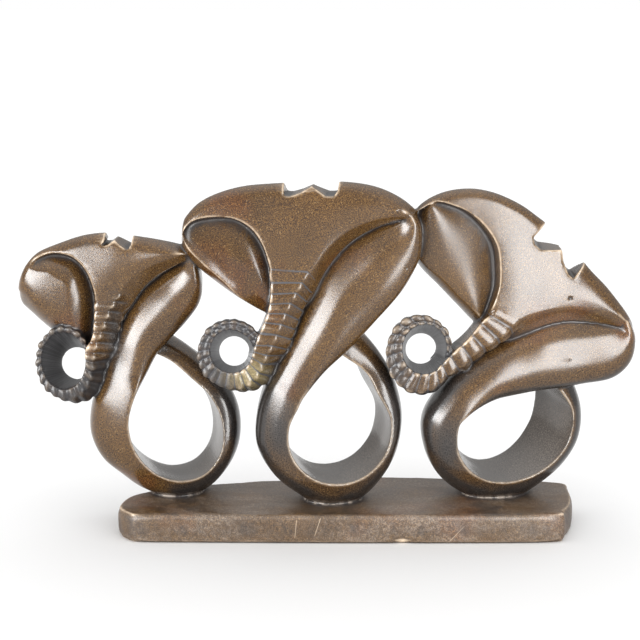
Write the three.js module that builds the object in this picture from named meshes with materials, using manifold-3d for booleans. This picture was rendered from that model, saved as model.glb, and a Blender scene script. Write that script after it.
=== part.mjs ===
// Soapstone carving of three stylised elephants side by side on one base, all cut from a single block.
// Millimetres, +Z up. The front looks along -Y, and the origin is the middle of the flat underside.

import * as THREE from 'three';
import Module from 'manifold-3d';
import { ParametricGeometry } from 'three/addons/geometries/ParametricGeometry.js';
import { mergeVertices } from 'three/addons/utils/BufferGeometryUtils.js';

const wasm = await Module();
wasm.setup();

// Base slab
const BASE_HEIGHT = 19;
const BASE_EDGE = 3;            // worn rounding of the slab's edges
const BASE_TOP = [              // flat top seen from above, anticlockwise from the front left corner
  [-137, -36], [0, -38], [126, -37], [139, -30], [147, -12], [149, 15], [142, 32],
  [70, 40], [10, 41], [-60, 32], [-104, 21], [-132, 9], [-144, -5], [-146, -23],
];

// Heads: depths are measured from the middle plane of each head, positive to the back
const FACE = -22;               // front of the broad, slightly crowned face
const FACE_CROWN = -23.5;
const HEAD_BACK = 16;
const BACK_INSET = 13;          // the slab thins towards the back of the crown

// Right ears and loops: how deep they are from front to back
const EAR_DEPTH = 33;
const LOOP_DEPTH = 45;
const LOOP_END_DEPTH = 42;

// Loops: how many degrees a swell or a flat spreads to either side, and the slope under the loop
const SWELL_SPREAD = 28;
const UNDER_SPREAD = 45;

// Trunks
const RING_DEPTH = 1;
const CURL_RING_DEPTH = 1.6;
const CURL_DEPTH = 26;
const CURL_TAPER = 4;           // how much smaller the curl is at its back
const HOLE_LEAD = 0.7;          // share of the way from the trunk's edge to the hole, just before the curl
const RING_CUTS = [[0, 1], [0.22, 0], [0.78, 0]];   // places in one ring, and how deep each is cut

// How finely each solid is stepped along its length, and the points at each of its corners
const HEAD_STEPS = 21;
const HEAD_ARCS = [2, 1, 1, 1, 2, 2, 2];
const CUT_STEPS = 15;
const CUT_ARCS = [1, 2, 2, 2, 1, 1];
const STRAP_STEPS = 34;
const STRAP_ARCS = [2, 2, 1, 1, 2, 2, 1, 2];
const TRUNK_ARCS = [1, 1, 1, 1, 1, 1];

const STONE = { color: 0x5a4634, roughness: 0.38, metalness: 0 };

// Smooth line through a list of rows of numbers, at t from 0 to 1 (uniform Catmull-Rom)
function along(rows, t) {
  const place = t * (rows.length - 1);
  const k = Math.min(Math.floor(place), rows.length - 2);
  const s = place - k;
  const row = (i) => rows[Math.min(Math.max(i, 0), rows.length - 1)];
  const [p, q, r, w] = [row(k - 1), row(k), row(k + 1), row(k + 2)];
  return q.map((_, c) => {
    const lean = (r[c] - p[c]) / 2;
    const next = (w[c] - q[c]) / 2;
    return q[c] + lean * s + (3 * (r[c] - q[c]) - 2 * lean - next) * s * s
      + (2 * (q[c] - r[c]) + lean + next) * s * s * s;
  });
}

// A closed outline with rounded corners: each corner is [x, y, z, radius] and becomes a few points of
// a quadratic curve that leaves and meets the two sides at the radius, or half way if that is less
function rounded(corners, counts) {
  const points = [];
  corners.forEach((corner, i) => {
    const here = new THREE.Vector3(corner[0], corner[1], corner[2]);
    const ends = [corners.at(i - 1), corners[(i + 1) % corners.length]].map((other) => {
      const side = new THREE.Vector3(other[0], other[1], other[2]).sub(here);
      const length = side.length();
      const reach = Math.min(corner[3], length / 2);
      return here.clone().addScaledVector(side, length > 0 ? reach / length : 0);
    });
    const curve = new THREE.QuadraticBezierCurve3(ends[0], here, ends[1]);
    for (let n = 0; n < counts[i]; n += 1) {
      points.push(curve.getPoint(counts[i] === 1 ? 0.5 : n / (counts[i] - 1)));
    }
  });
  return points;
}

// A closed solid through a row of outlines, its two ends drawn together to a point
function loft(outlineAt, steps) {
  const outlines = [];
  for (let i = 0; i <= steps; i += 1) {
    outlines.push(outlineAt(i / steps));
  }
  const middle = (outline) => outline.reduce((sum, p) => sum.add(p), new THREE.Vector3())
    .divideScalar(outline.length);
  const rows = [
    outlines[0].map(() => middle(outlines[0])),
    ...outlines,
    outlines[steps].map(() => middle(outlines[steps])),
  ];
  const around = rows[0].length;
  const surface = (u, v, target) => {
    const row = rows[Math.round(v * (rows.length - 1))];
    target.copy(row[Math.round(u * around) % around]);
  };
  return solid(new ParametricGeometry(surface, around, rows.length - 1));
}

// Turns a closed geometry into a solid that can be joined and cut
function solid(geometry) {
  geometry.deleteAttribute('normal');
  geometry.deleteAttribute('uv');
  const merged = mergeVertices(geometry, 1e-4);
  const position = merged.getAttribute('position');
  const triangles = [];
  const index = merged.getIndex().array;
  let volume = 0;
  const [a, b, c] = [new THREE.Vector3(), new THREE.Vector3(), new THREE.Vector3()];
  for (let i = 0; i < index.length; i += 3) {
    const corners = [index[i], index[i + 1], index[i + 2]];
    if (new Set(corners).size === 3) {
      triangles.push(...corners);
      a.fromBufferAttribute(position, corners[0]);
      b.fromBufferAttribute(position, corners[1]);
      c.fromBufferAttribute(position, corners[2]);
      volume += a.dot(b.cross(c));
    }
  }
  if (volume < 0) {
    triangles.reverse();
  }
  return new wasm.Manifold(new wasm.Mesh({
    numProp: 3,
    vertProperties: new Float32Array(position.array),
    triVerts: new Uint32Array(triangles),
  }));
}

const mix = THREE.MathUtils.lerp;
const between = (a, b, t) => [mix(a[0], b[0], t), mix(a[1], b[1], t)];

// Point of a turned ellipse, seen from the front, at a polar angle in degrees. `swells` are pairs of how
// far, and round which angle, it stands out from the ellipse, or is cut flatter where that is negative
function onEllipse(ring, degrees) {
  const angle = THREE.MathUtils.degToRad(degrees);
  const turned = angle - THREE.MathUtils.degToRad(ring.turn);
  const swell = ring.swells.reduce((sum, [out, at]) => (
    sum + out * Math.exp(-(((degrees - at) / SWELL_SPREAD) ** 2))), 0);
  const radius = 1 / Math.hypot(Math.cos(turned) / ring.long, Math.sin(turned) / ring.short) + swell;
  return [ring.x + radius * Math.cos(angle), ring.z + radius * Math.sin(angle)];
}

// The head blank: rows of [top x, z, face edge x, z, lower rim x, z] from the left tip to the right
function headBlank(head, plane, noses) {
  const core = -5;              // depth to which the two tips thin down
  return loft((t) => {
    const [tx, tz, ex, ez, bx, bz, inset, foot] = along(head, t);
    const height = Math.hypot(bx - tx, bz - tz) + 0.01;
    const nose = mix(noses[0], noses[1], THREE.MathUtils.smoothstep(t, 0.3, 0.7));
    const full = Math.sqrt(1 - (1 - Math.min(1, height / nose)) ** 2);
    const tip = 1 - full;
    const put = (x, z, depth, radius) => [x, plane(x) + core + (depth - core) * full, z, radius];
    const at = (down, depth, radius) => {
      const [x, z] = between([tx, tz], [bx, bz], Math.min(down, 0.5 * height) / height);
      return put(x, z, depth, radius);
    };
    return rounded([
      at(BACK_INSET, HEAD_BACK, 14),
      at(-1.2 * full, mix(-15, -9, tip), 5),
      at(mix(2.5, 6, tip), mix(FACE + 0.6, -12, tip), 5),
      put((tx + ex) / 2, (tz + ez) / 2, FACE_CROWN, 40),
      put(ex, ez, FACE, inset),
      put(bx, bz, foot, inset),
      put(bx, bz, HEAD_BACK, 9),
    ], HEAD_ARCS);
  }, HEAD_STEPS);
}

// What is carved away over the left ear: rows of [face edge x, z, outside x, z, and the depths of the
// groove, the crest, the rim and beyond it]
function earCut(rows, plane) {
  const above = -34;
  const wall = 2.5;
  return loft((t) => {
    const [ex, ez, ox, oz, groove, crest, rim, brim] = along(rows, t);
    const width = Math.hypot(ox - ex, oz - ez);
    const at = (across, depth, radius) => {
      const [x, z] = between([ex, ez], [ox, oz], across / width);
      return [x, plane(x) + depth, z, radius];
    };
    const slope = wall / (groove - FACE);
    return rounded([
      at((above - FACE) * slope, above, 0),
      at(wall, groove, 2),
      at(wall + 0.45 * (width - wall), crest, 30),
      at(0.88 * width, rim, 8),
      at(width + 8, brim, 0),
      at(width + 8, above, 0),
    ], CUT_ARCS);
  }, CUT_STEPS);
}

// The right ear, the neck and the loop, one strap that starts at the tip of the head, and goes down,
// round the loop and up again behind the ear
function strap(beast, plane) {
  const rows = beast.ear.map(([ax, az, bx, bz, front, groove], i) => {
    const loop = THREE.MathUtils.smoothstep(i, beast.ear.length - 3.5, beast.ear.length - 0.5);
    return [ax, az, bx, bz, front, mix(EAR_DEPTH, LOOP_DEPTH, loop), groove, loop, 0, 0];
  });
  const from = beast.loopFrom;
  const to = 392;
  const turns = 10;
  for (let i = 0; i <= turns; i += 1) {
    const angle = mix(from, to, i / turns);
    const [ax, az] = onEllipse(beast.outer, angle);
    const [bx, bz] = onEllipse(beast.ridge, angle + 12 * THREE.MathUtils.smoothstep(angle, 350, 390));
    const turn = THREE.MathUtils.smoothstep(angle, 180, 370);
    const front = along(beast.loopFront, (angle - from) / (to - from))[0];
    const lean = mix(beast.lean[0], beast.lean[1], turn);
    const under = beast.under * Math.exp(-(((angle - 270) / UNDER_SPREAD) ** 2));
    rows.push([ax, az, bx, bz, front, mix(LOOP_DEPTH, LOOP_END_DEPTH, turn), 4, 1, lean, under]);
  }
  beast.tail.forEach(([ax, az, bx, bz, front, depth, lean]) => {
    rows.push([ax, az, bx, bz, front, depth, 4, 1, lean, 0]);
  });
  return loft((t) => {
    const [ax, az, bx, bz, front, depth, groove, loop, lean, under] = along(rows, t);
    const width = Math.hypot(bx - ax, bz - az);
    const at = (across, back, radius, shift) => {
      const [x, z] = between([ax, az], [bx, bz], across / width);
      return [x - shift, plane(x) + front + back, z + shift * beast.rise, radius];
    };
    const blend = (ear, ring) => ear.map((value, i) => mix(value, ring[i], loop));
    const corners = [
      blend([-1, groove + 4, 0.5, 0], [0, 0.45 * depth + 0.5 * under, 14, 0]),
      blend([0.04 * width, groove, 3, 0], [0.1 * width, 8 + under, 8, 0]),
      blend([0.3 * width, 1.5 * Math.min(1, groove / 6), 14, 0], [0.45 * width, 2 + 0.4 * under, 8, 0]),
      blend([0.7 * width, 0, 14, 0], [0.92 * width, 0.2, 2, 0]),
      blend([0.985 * width, 5, 6, 0], [width, 0, 0.7, 0]),
      blend([width, 14, 8, 0], [width, depth, 3, lean]),
      blend([0.9 * width, depth, 8, 0], [0.6 * width, depth + 1, 8, 0.8 * lean]),
      blend([-1, depth, 8, 0], [0.1 * width, 0.92 * depth, 10, 0.25 * lean]),
    ].map(([across, back, radius, shift]) => at(across, back, radius, shift));
    return rounded(corners, STRAP_ARCS);
  }, STRAP_STEPS);
}

// The trunk: a tapering bar with a bevel down its right side and carved rings across it, which ends
// in a ring-shaped curl
function trunk(beast, plane) {
  const curl = beast.curl;
  const { x, z, outer, tall, mouthX, mouthZ, mouth, holeX, holeZ, hole } = curl;
  const start = THREE.MathUtils.degToRad(curl.start);
  const rows = beast.trunk.map((row, i) => {
    const lead = i === beast.trunk.length - 1 ? HOLE_LEAD : 0;
    const inner = between(row, [holeX + hole * Math.cos(start), holeZ + hole * Math.sin(start)], lead);
    return [...row, ...inner, row[4], row[5], 0];
  });
  const turns = 14;
  for (let i = 0; i <= turns; i += 1) {
    const angle = THREE.MathUtils.degToRad(mix(curl.start, curl.end, i / turns));
    const [cos, rise] = [Math.cos(angle), Math.sin(angle)];
    const sin = tall * rise;
    const bevel = curl.bevel * (1 - THREE.MathUtils.smoothstep(i / turns, 0.05, 0.28));
    const tip = THREE.MathUtils.smoothstep(i / turns, 0.75, 1);
    const far = outer - 1.5 * tip;
    rows.push([
      mouthX + mouth * cos, mouthZ + mouth * sin, x + far * cos, z + far * sin,
      x + (far + bevel) * cos, z + (far + bevel) * sin,
      curl.front + 6 * tip, 2 + 1.2 * bevel,
      holeX + hole * cos, holeZ + hole * rise,
      x + (far + bevel - CURL_TAPER) * cos, z + (far + bevel - CURL_TAPER) * sin, 1,
    ]);
  }
  // Rings at their own pitch, one on the straight trunk and another on the curl
  const samples = 400;
  const counted = [0];
  for (let i = 1; i <= samples; i += 1) {
    const before = along(rows, (i - 1) / samples);
    const here = along(rows, i / samples);
    const pitch = mix(beast.trunkPitch, curl.pitch, here[12]);
    counted.push(counted[i - 1] + Math.hypot(here[2] - before[2], here[3] - before[3]) / pitch);
  }
  const rings = Math.round(counted[samples]);
  const atRing = (ring) => {
    const want = ring * counted[samples] / rings;
    const i = Math.max(1, counted.findIndex((count) => count >= want - 1e-9));
    return (i - 1 + (want - counted[i - 1]) / (counted[i] - counted[i - 1])) / samples;
  };
  const places = [];
  for (let ring = 0; ring < rings; ring += 1) {
    RING_CUTS.forEach(([share, depth]) => places.push([ring + share, depth]));
  }
  places.push([rings, 1]);
  const steps = places.length - 1;
  return loft((t) => {
    const [ring, groove] = places[Math.round(t * steps)];
    const [lx, lz, fx, fz, gx, gz, face, bevel, hx, hz, bx, bz, curled] = along(rows, atRing(ring));
    const cut = groove * mix(RING_DEPTH, CURL_RING_DEPTH, curled);
    const across = Math.hypot(fx - lx, fz - lz);
    const [ux, uz] = [(fx - lx) / across, (fz - lz) / across];
    const y = (px) => plane(px) + face;
    return rounded([
      [bx - ux * cut, y(bx) + CURL_DEPTH, bz - uz * cut, 3],
      [gx - ux * cut, y(gx) + bevel + 2, gz - uz * cut, 2],
      [gx - ux * cut, y(gx) + bevel, gz - uz * cut, 1],
      [fx - ux * cut, y(fx) + cut, fz - uz * cut, 1],
      [lx, y(lx) + cut, lz, 1],
      [hx, y(hx) + CURL_DEPTH, hz, 3],
    ], TRUNK_ARCS);
  }, steps);
}

// What is cut out of the crown: a prism through the head, turned a little to one side
function crownCut(notch, plane, turn) {
  const outline = new THREE.Shape(notch.map(([x, z]) => new THREE.Vector2(x, z)));
  const depth = 120;
  const geometry = new THREE.ExtrudeGeometry(outline, { depth, bevelEnabled: false });
  geometry.rotateX(Math.PI / 2);
  geometry.translate(0, depth / 2, 0);
  const position = geometry.getAttribute('position');
  for (let i = 0; i < position.count; i += 1) {
    const y = position.getY(i);
    position.setX(i, position.getX(i) + turn * (y - plane(position.getX(i)) - FACE));
  }
  return solid(geometry);
}

const left = {
  middle: 5, slant: -0.03, over: -155, noses: [40, 10],
  head: [
    [-211.4, 160, -211.2, 160, -211.6, 159, 24, -6],
    [-210.9, 165, -209.3, 159, -212, 154.5, 24, -6],
    [-209.2, 170, -205, 157, -210.8, 148.8, 24, -6],
    [-205.3, 177, -200, 152, -205.5, 143.5, 24, -6],
    [-198, 184.5, -192, 145, -196, 134.5, 24, -6],
    [-186.5, 190, -182, 138, -184, 126, 24, -6],
    [-172, 195, -170, 134, -172, 121, 18, -6],
    [-158.5, 197.5, -160, 140, -160, 120, 6, -8],
    [-147, 198, -151, 154, -150, 134, 1, -10],
    [-137.5, 196.5, -143, 163, -139.5, 149, 0.8, -12],
    [-126, 194.7, -136, 171, -131, 161, 0.8, -13],
    [-115, 192.5, -125, 178, -120, 170.5, 0.8, -14],
    [-106, 190, -112, 183, -107, 178.5, 0.8, -17],
    [-99, 187, -102, 184.3, -99, 182, 0.8, -19],
    [-94, 183, -94, 183, -94, 182, 0.8, -20],
  ],
  cut: [
    [-205, 178, -203, 176, -21.6, -21.8, -22, -30],
    [-199, 182.5, -196.5, 175, -18, -20, -21.5, -27],
    [-191, 185.8, -190, 176, -15.5, -18.5, -21, -25.5],
    [-182.5, 186, -185, 174.5, -14, -17.5, -20.8, -24.5],
    [-173.5, 183, -178.5, 171.5, -13, -17, -20.8, -24.5],
    [-166, 175, -174.5, 166, -12, -16.5, -20.8, -24.5],
    [-161.5, 163.5, -173, 158.5, -11, -16, -20.5, -24],
    [-159.8, 152, -173, 149, -10, -15.5, -20, -24],
    [-160.5, 137, -174, 136, -9, -14.5, -19, -23.5],
    [-163, 124, -176, 124, -8, -13, -18, -23],
  ],
  ear: [
    [-102.5, 187, -96, 182.5, -19, 1],
    [-107, 177, -92.5, 164, -18, 6],
    [-120, 170.5, -94.5, 151, -17, 10],
    [-131, 161, -103, 139, -18, 10],
    [-139.5, 149, -114, 127.5, -19, 10],
    [-147, 134, -123, 117, -20, 9],
    [-153.5, 117, -130, 104, -21, 7],
    [-160, 99.5, -135, 94.5, -23, 5],
  ],
  loopFrom: 160,
  outer: { x: -119, z: 67.5, long: 51, short: 48.4, turn: -40, swells: [[-4, 232], [4, 282]] },
  ridge: { x: -110.3, z: 67.5, long: 35.5, short: 28.9, turn: 115, swells: [] },
  loopFront: [[-24], [-24], [-21], [-15.5], [-10], [-6.5], [-3]],
  lean: [10, 10], rise: -0.12, under: 8,
  tail: [
    [-86, 103, -98, 96.5, -1, 36, 8],
    [-103, 117, -114, 110.5, -2, 32, 4],
    [-122, 131, -131, 121, -5, 26, 0],
    [-139, 147, -143, 137, -9, 12, 0],
  ],
  trunkPitch: 7.4,
  trunk: [
    [-159, 168, -141.5, 168, -134, 163, -21, 8],
    [-160.7, 159.7, -144.3, 159.8, -136.4, 157, -22, 9],
    [-161.3, 149.2, -150.7, 149.3, -142, 146.5, -23, 9],
    [-161.9, 140.1, -154.5, 140.1, -145.3, 137, -23, 9],
    [-163.4, 130.8, -158.3, 130.9, -148, 128, -23, 9.5],
    [-168, 122.5, -161.4, 122.9, -149.8, 120, -23, 10],
  ],
  curl: {
    x: -181.7, z: 113.6, outer: 18.7, tall: 1.33, bevel: 9, pitch: 6.6, start: -5, end: -378, front: -23,
    mouthX: -182.4, mouthZ: 115.8, mouth: 14.5, holeX: -176.1, holeZ: 108, hole: 9.9,
  },
  crown: [
    [-155.5, 210], [-153.5, 197.5], [-154, 193], [-157.5, 190], [-152, 191], [-147.5, 194.5],
    [-143.5, 191], [-139, 188], [-137, 192], [-135, 210],
  ],
  crownTurn: 0.05,
};

const centre = {
  middle: -8, slant: 0, over: -30, noses: [26, 12],
  head: [
    [-104.2, 198, -103.5, 198, -104.6, 197, 8, -8],
    [-104, 202, -103, 196, -104.8, 193, 8, -8],
    [-103.4, 206, -100, 192, -104, 189, 8, -8],
    [-101, 211, -96, 188, -101, 183.5, 8, -8],
    [-93, 219, -88, 181, -94, 175.5, 8, -8],
    [-80, 225.3, -78, 173, -83, 166.5, 8, -8],
    [-64.5, 229.5, -64, 163, -67, 155, 8, -8],
    [-47, 231.2, -50, 158, -51, 146, 6, -8],
    [-30, 232, -38, 158, -37, 143, 1, -10],
    [-14, 232.6, -22, 177, -23.5, 155.5, 0.8, -12],
    [0, 232.3, -11, 192, -12, 176.5, 0.8, -12],
    [12, 230.7, 2, 203, 1, 192, 0.8, -13],
    [23, 227.7, 16, 209, 16, 202, 0.8, -14],
    [33, 222.5, 28, 211, 29, 207.3, 0.8, -17],
    [41, 216.3, 38, 211, 38.5, 209.8, 0.8, -20.5],
    [45.5, 211.5, 45, 211, 45, 210.7, 0.8, -21.5],
  ],
  cut: [
    [-103.5, 200.5, -103, 197, -19, -20, -20, -26],
    [-97, 208, -101, 193, -13, -15.5, -17, -26],
    [-85.5, 211, -94, 184, -10, -14.5, -16, -25],
    [-71.5, 210.5, -85, 174.5, -8, -14, -15.5, -24],
    [-60.5, 204.5, -75, 166, -8, -14.5, -14, -18],
    [-53, 194, -66, 157, -8, -15, -11, -8],
    [-48.5, 180, -57, 146, -8, -15, -8, 0],
    [-46.3, 168, -50, 141, -8, -14, -8, 0],
    [-46.5, 154, -45, 139, -8, -12, -8, 0],
  ],
  ear: [
    [33, 215, 43.5, 212.5, -21, 0.5],
    [36, 209.5, 47.6, 203.5, -21, 2.5],
    [29, 206, 48, 191, -20.5, 6],
    [17, 202, 45.5, 179.5, -20, 9],
    [1, 192, 36, 162, -20, 10],
    [-12, 176.5, 20.5, 143.5, -20, 10],
    [-23.5, 155.5, 3.5, 124.5, -20.5, 10],
    [-35, 132, -13.5, 109.5, -21, 9],
    [-46, 112, -26, 95.5, -22, 7],
  ],
  loopFrom: 146,
  outer: { x: -11.6, z: 72.2, long: 56.9, short: 49.1, turn: 82, swells: [[-2, 170], [-5.5, 236], [4, 278]] },
  ridge: { x: -3.1, z: 69.1, long: 33.9, short: 32.8, turn: 40, swells: [] },
  loopFront: [[-23], [-23], [-22.5], [-19.5], [-15], [-10], [-5]],
  lean: [7, 10.5], rise: 0.2, under: 7,
  tail: [
    [23.5, 115.5, 13.5, 105.5, -1, 36, 8.5],
    [11, 130.5, -0.5, 116.5, -1, 32, 4],
    [-7, 148.5, -20, 130.5, -4, 26, 0],
    [-24.5, 167, -32, 149, -9, 12, 0],
  ],
  trunkPitch: 7.6,
  trunk: [
    [-47, 186, -21, 183, -17, 177, -21.5, 7],
    [-48.5, 176, -24.9, 174, -20.5, 167.5, -22.5, 7],
    [-47.7, 167.2, -28.4, 167.6, -22.5, 160, -23, 8],
    [-49, 152.8, -36.4, 153.2, -28.5, 147, -23, 8],
    [-53.5, 140, -42.8, 138.5, -33.5, 134, -23, 8],
    [-57.5, 130.5, -46, 130.5, -36.5, 126, -23, 8.5],
  ],
  curl: {
    x: -73, z: 122.9, outer: 22.2, tall: 1.03, bevel: 9.5, pitch: 6.6, start: -12, end: -386, front: -23.5,
    mouthX: -73, mouthZ: 125.2, mouth: 13.7, holeX: -72.3, holeZ: 119.5, hole: 9,
  },
  crown: [
    [-39.5, 245], [-39.5, 224.5], [-36, 224], [-29, 226.5], [-22, 230.5], [-17, 227],
    [-13, 224], [-8, 224], [-5.5, 228], [-5, 245],
  ],
  crownTurn: 0.1,
};

const right = {
  middle: 6, slant: 0.05, over: 125, noses: [30, 14],
  head: [
    [40, 199, 41, 198, 40, 196, 9, -6],
    [42, 210, 46, 192, 42, 184, 9, -6],
    [50, 218.5, 54, 182, 49, 173, 9, -6],
    [64, 225, 66, 172, 60, 162, 9, -6],
    [79, 226.5, 77, 160, 71, 150, 9, -6],
    [95, 223.5, 88, 150, 82, 139, 8, -6],
    [110, 216.5, 97, 148, 93, 131, 4, -8],
    [122, 208.5, 108, 142, 104, 126, 1, -10],
    [134, 199, 119, 145.5, 116, 131, 0.8, -12],
    [146, 187, 132, 149, 130, 137, 0.8, -13],
    [158, 172.5, 147, 149.7, 145, 139.7, 0.8, -13],
    [169, 161, 161, 147.5, 159, 139, 0.8, -14],
    [179, 148.5, 173, 143, 171.5, 137.5, 0.8, -17],
    [185.3, 139, 181, 138.5, 180, 135.5, 0.8, -20.5],
    [187.6, 133, 187.2, 132.8, 187, 132.5, 0.8, -21.5],
  ],
  cut: [
    [57, 220, 52, 217, -20, -21, -16, -4],
    [64.5, 218, 44, 210, -15, -20, -12, -4],
    [77.5, 212.5, 38, 198, -12, -20, -12, -4],
    [89, 202, 38, 186, -11, -20, -12, -4],
    [96, 190, 44, 172, -10, -20, -12, -4],
    [98, 175, 56, 160, -10, -19, -12, -4],
    [97.5, 163, 68, 148, -10, -18, -12, -4],
    [93, 149, 78, 138, -10, -16, -10, -4],
    [88, 139, 84, 132, -10, -14, -10, -4],
  ],
  ear: [
    [177, 144, 184.5, 139.5, -21.3, 0.5],
    [178.5, 136.5, 188.6, 127.5, -21.3, 2.5],
    [171, 137.5, 186, 112, -21.3, 6],
    [160, 139, 174.5, 101, -21, 8],
    [143, 139.5, 153, 96.5, -21.5, 9],
    [126.5, 136, 133.5, 94, -22, 9],
    [111, 129, 116, 91.5, -22, 9],
    [94, 121, 101, 88.5, -22.5, 9],
    [78, 111, 89, 84.5, -23, 8],
    [64, 97, 79, 78.5, -24, 6],
  ],
  loopFrom: 174,
  outer: { x: 102.8, z: 70.1, long: 54.6, short: 51.4, turn: 44, swells: [[4, 272], [1.5, 350]] },
  ridge: { x: 111.2, z: 67.7, long: 39.6, short: 33.7, turn: 24.8, swells: [] },
  loopFront: [[-24], [-23.5], [-20.5], [-16.5], [-14], [-13], [-12]],
  lean: [2, 21], rise: 0.42, under: 8,
  tail: [
    [140, 106, 132, 99, -11, 38, 18],
    [126, 116, 119, 108, -9, 30, 8],
    [107.5, 125.5, 104.5, 117.5, -11, 12, 0],
  ],
  trunkPitch: 10.8,
  trunk: [
    [100, 154, 114, 145, 117, 140, -20.8, 5],
    [94, 147.5, 109, 139.5, 111, 134.5, -22.5, 5],
    [87.8, 142.2, 100.3, 131.3, 102, 127, -23.2, 4.5],
    [77.7, 129.6, 84.2, 120.9, 86, 116.5, -23.5, 4.5],
    [70.5, 122.8, 76.6, 113.4, 78.5, 109, -23, 4.5],
  ],
  curl: {
    x: 47.6, z: 120.3, outer: 22.5, tall: 1.16, bevel: 3, pitch: 8.2, start: -35, end: -410, front: -22,
    mouthX: 50.8, mouthZ: 123.9, mouth: 14.5, holeX: 49.5, holeZ: 118.5, hole: 9.6,
  },
  crown: [
    [136, 214], [128, 205.5], [119, 196], [120, 191.5], [124, 188], [137.5, 187.5], [138.5, 180],
    [142, 172], [145.5, 169], [153, 179.5], [162, 190],
  ],
  crownTurn: 0.05,
};

// One elephant: head, crown notch, ears, strap and trunk joined
function elephant(beast) {
  const plane = (x) => beast.middle + (x - beast.over) * beast.slant;
  const head = headBlank(beast.head, plane, beast.noses)
    .subtract(earCut(beast.cut, plane))
    .subtract(crownCut(beast.crown, plane, beast.crownTurn));
  return head
    .add(strap(beast, plane))
    .add(trunk(beast, plane));
}

function baseSlab() {
  const curve = new THREE.SplineCurve([...BASE_TOP, BASE_TOP[0]].map(([x, y]) => new THREE.Vector2(x, y)));
  const outline = new THREE.Shape(curve.getPoints(BASE_TOP.length * 2).slice(0, -1));
  const geometry = new THREE.ExtrudeGeometry(outline, {
    depth: BASE_HEIGHT - 2 * BASE_EDGE,
    bevelThickness: BASE_EDGE,
    bevelSize: BASE_EDGE,
    bevelSegments: 2,
  });
  geometry.translate(0, 0, BASE_EDGE);
  return solid(geometry);
}

const whole = [left, centre, right].reduce((sum, beast) => sum.add(elephant(beast)), baseSlab());

// Back to a three.js geometry
function geometryOf(manifold) {
  const mesh = manifold.getMesh();
  const geometry = new THREE.BufferGeometry();
  geometry.setAttribute('position', new THREE.Float32BufferAttribute(mesh.vertProperties, 3));
  geometry.setIndex([...mesh.triVerts]);
  geometry.computeVertexNormals();
  return geometry;
}

const group = new THREE.Group();
const carving = new THREE.Mesh(geometryOf(whole), new THREE.MeshStandardMaterial(STONE));
carving.name = 'elephant_group';
group.add(carving);

export default group;
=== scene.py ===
import bpy
import numpy as np
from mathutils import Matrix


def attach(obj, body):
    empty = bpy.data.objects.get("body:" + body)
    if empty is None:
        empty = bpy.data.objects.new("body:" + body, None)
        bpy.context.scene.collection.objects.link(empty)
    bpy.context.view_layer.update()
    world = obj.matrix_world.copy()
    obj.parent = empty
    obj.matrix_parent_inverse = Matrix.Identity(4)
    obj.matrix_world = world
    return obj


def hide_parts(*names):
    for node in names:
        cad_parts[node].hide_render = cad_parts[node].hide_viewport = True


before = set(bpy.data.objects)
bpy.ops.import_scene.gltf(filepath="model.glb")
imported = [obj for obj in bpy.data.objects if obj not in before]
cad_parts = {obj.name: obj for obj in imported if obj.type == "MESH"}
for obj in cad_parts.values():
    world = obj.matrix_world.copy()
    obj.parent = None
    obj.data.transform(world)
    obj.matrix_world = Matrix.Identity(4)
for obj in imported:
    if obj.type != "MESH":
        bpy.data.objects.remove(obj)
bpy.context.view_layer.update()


# Base slab
# The foot of the block that everything above is carved from: a low slab with worn, slightly uneven
# edges and a flat underside. Like the rest of the carving it is first made as a closed surface in
# millimetres.

MM = 0.001                        # metres in a millimetre
BASE_HEIGHT = 19.0
BASE_EDGE = 3.0                   # worn rounding of the slab's edges
BASE_POINTS = 420                 # points in each ring of the slab
BASE_TOP = [                      # flat top seen from above, anticlockwise from the front left corner
    [-137, -36], [0, -38], [126, -37], [139, -30], [147, -12], [149, 15], [142, 32],
    [70, 40], [10, 41], [-60, 32], [-104, 21], [-132, 9], [-144, -5], [-146, -23],
]


def along(rows, t):
    """Rows of numbers at each place t, from 0 to 1, on the uniform Catmull-Rom curve through the rows.
    Between rows q and r the slopes are half the steps from the row before q to r, and from q to the
    row after r."""
    rows = np.asarray(rows, float)
    place = np.clip(t, 0, 1) * (len(rows) - 1)
    k = np.minimum(place.astype(int), len(rows) - 2)
    s = (place - k)[:, None]
    last = len(rows) - 1
    p, q, r, w = rows[np.maximum(k - 1, 0)], rows[k], rows[k + 1], rows[np.minimum(k + 2, last)]
    start = (r - p) / 2
    end = (w - q) / 2
    return q + start * s + (3 * (r - q) - 2 * start - end) * s**2 + (2 * (q - r) + start + end) * s**3


def skin(rings):
    """Closed surface through rings of points, an array of rings by points by 3. Four-sided faces join
    neighbouring rings, and triangles to its middle close each end ring. The faces are turned to point
    outwards by the sign of the volume, the sum of a . (b x c) over the triangles."""
    count, around = rings.shape[:2]
    index = np.arange(count * around).reshape(count, around)
    beside = np.roll(index, -1, axis=1)
    quads = np.stack([index[:-1], beside[:-1], beside[1:], index[1:]], axis=-1).reshape(-1, 4)
    ends = np.stack([rings[0].mean(axis=0), rings[-1].mean(axis=0)])
    points = np.concatenate([rings.reshape(-1, 3), ends])
    first = np.full(around, len(points) - 2)
    second = np.full(around, len(points) - 1)
    caps = np.concatenate([
        np.stack([beside[0], index[0], first], axis=1),
        np.stack([index[-1], beside[-1], second], axis=1),
    ])
    corners = np.concatenate([quads[:, [0, 1, 2]], quads[:, [0, 2, 3]], caps])
    a, b, c = (points[corners[:, i]] for i in range(3))
    if np.einsum("ij,ij->", a, np.cross(b, c)) < 0:
        quads = quads[:, ::-1]
        caps = caps[:, ::-1]
    return points, quads, caps


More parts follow.
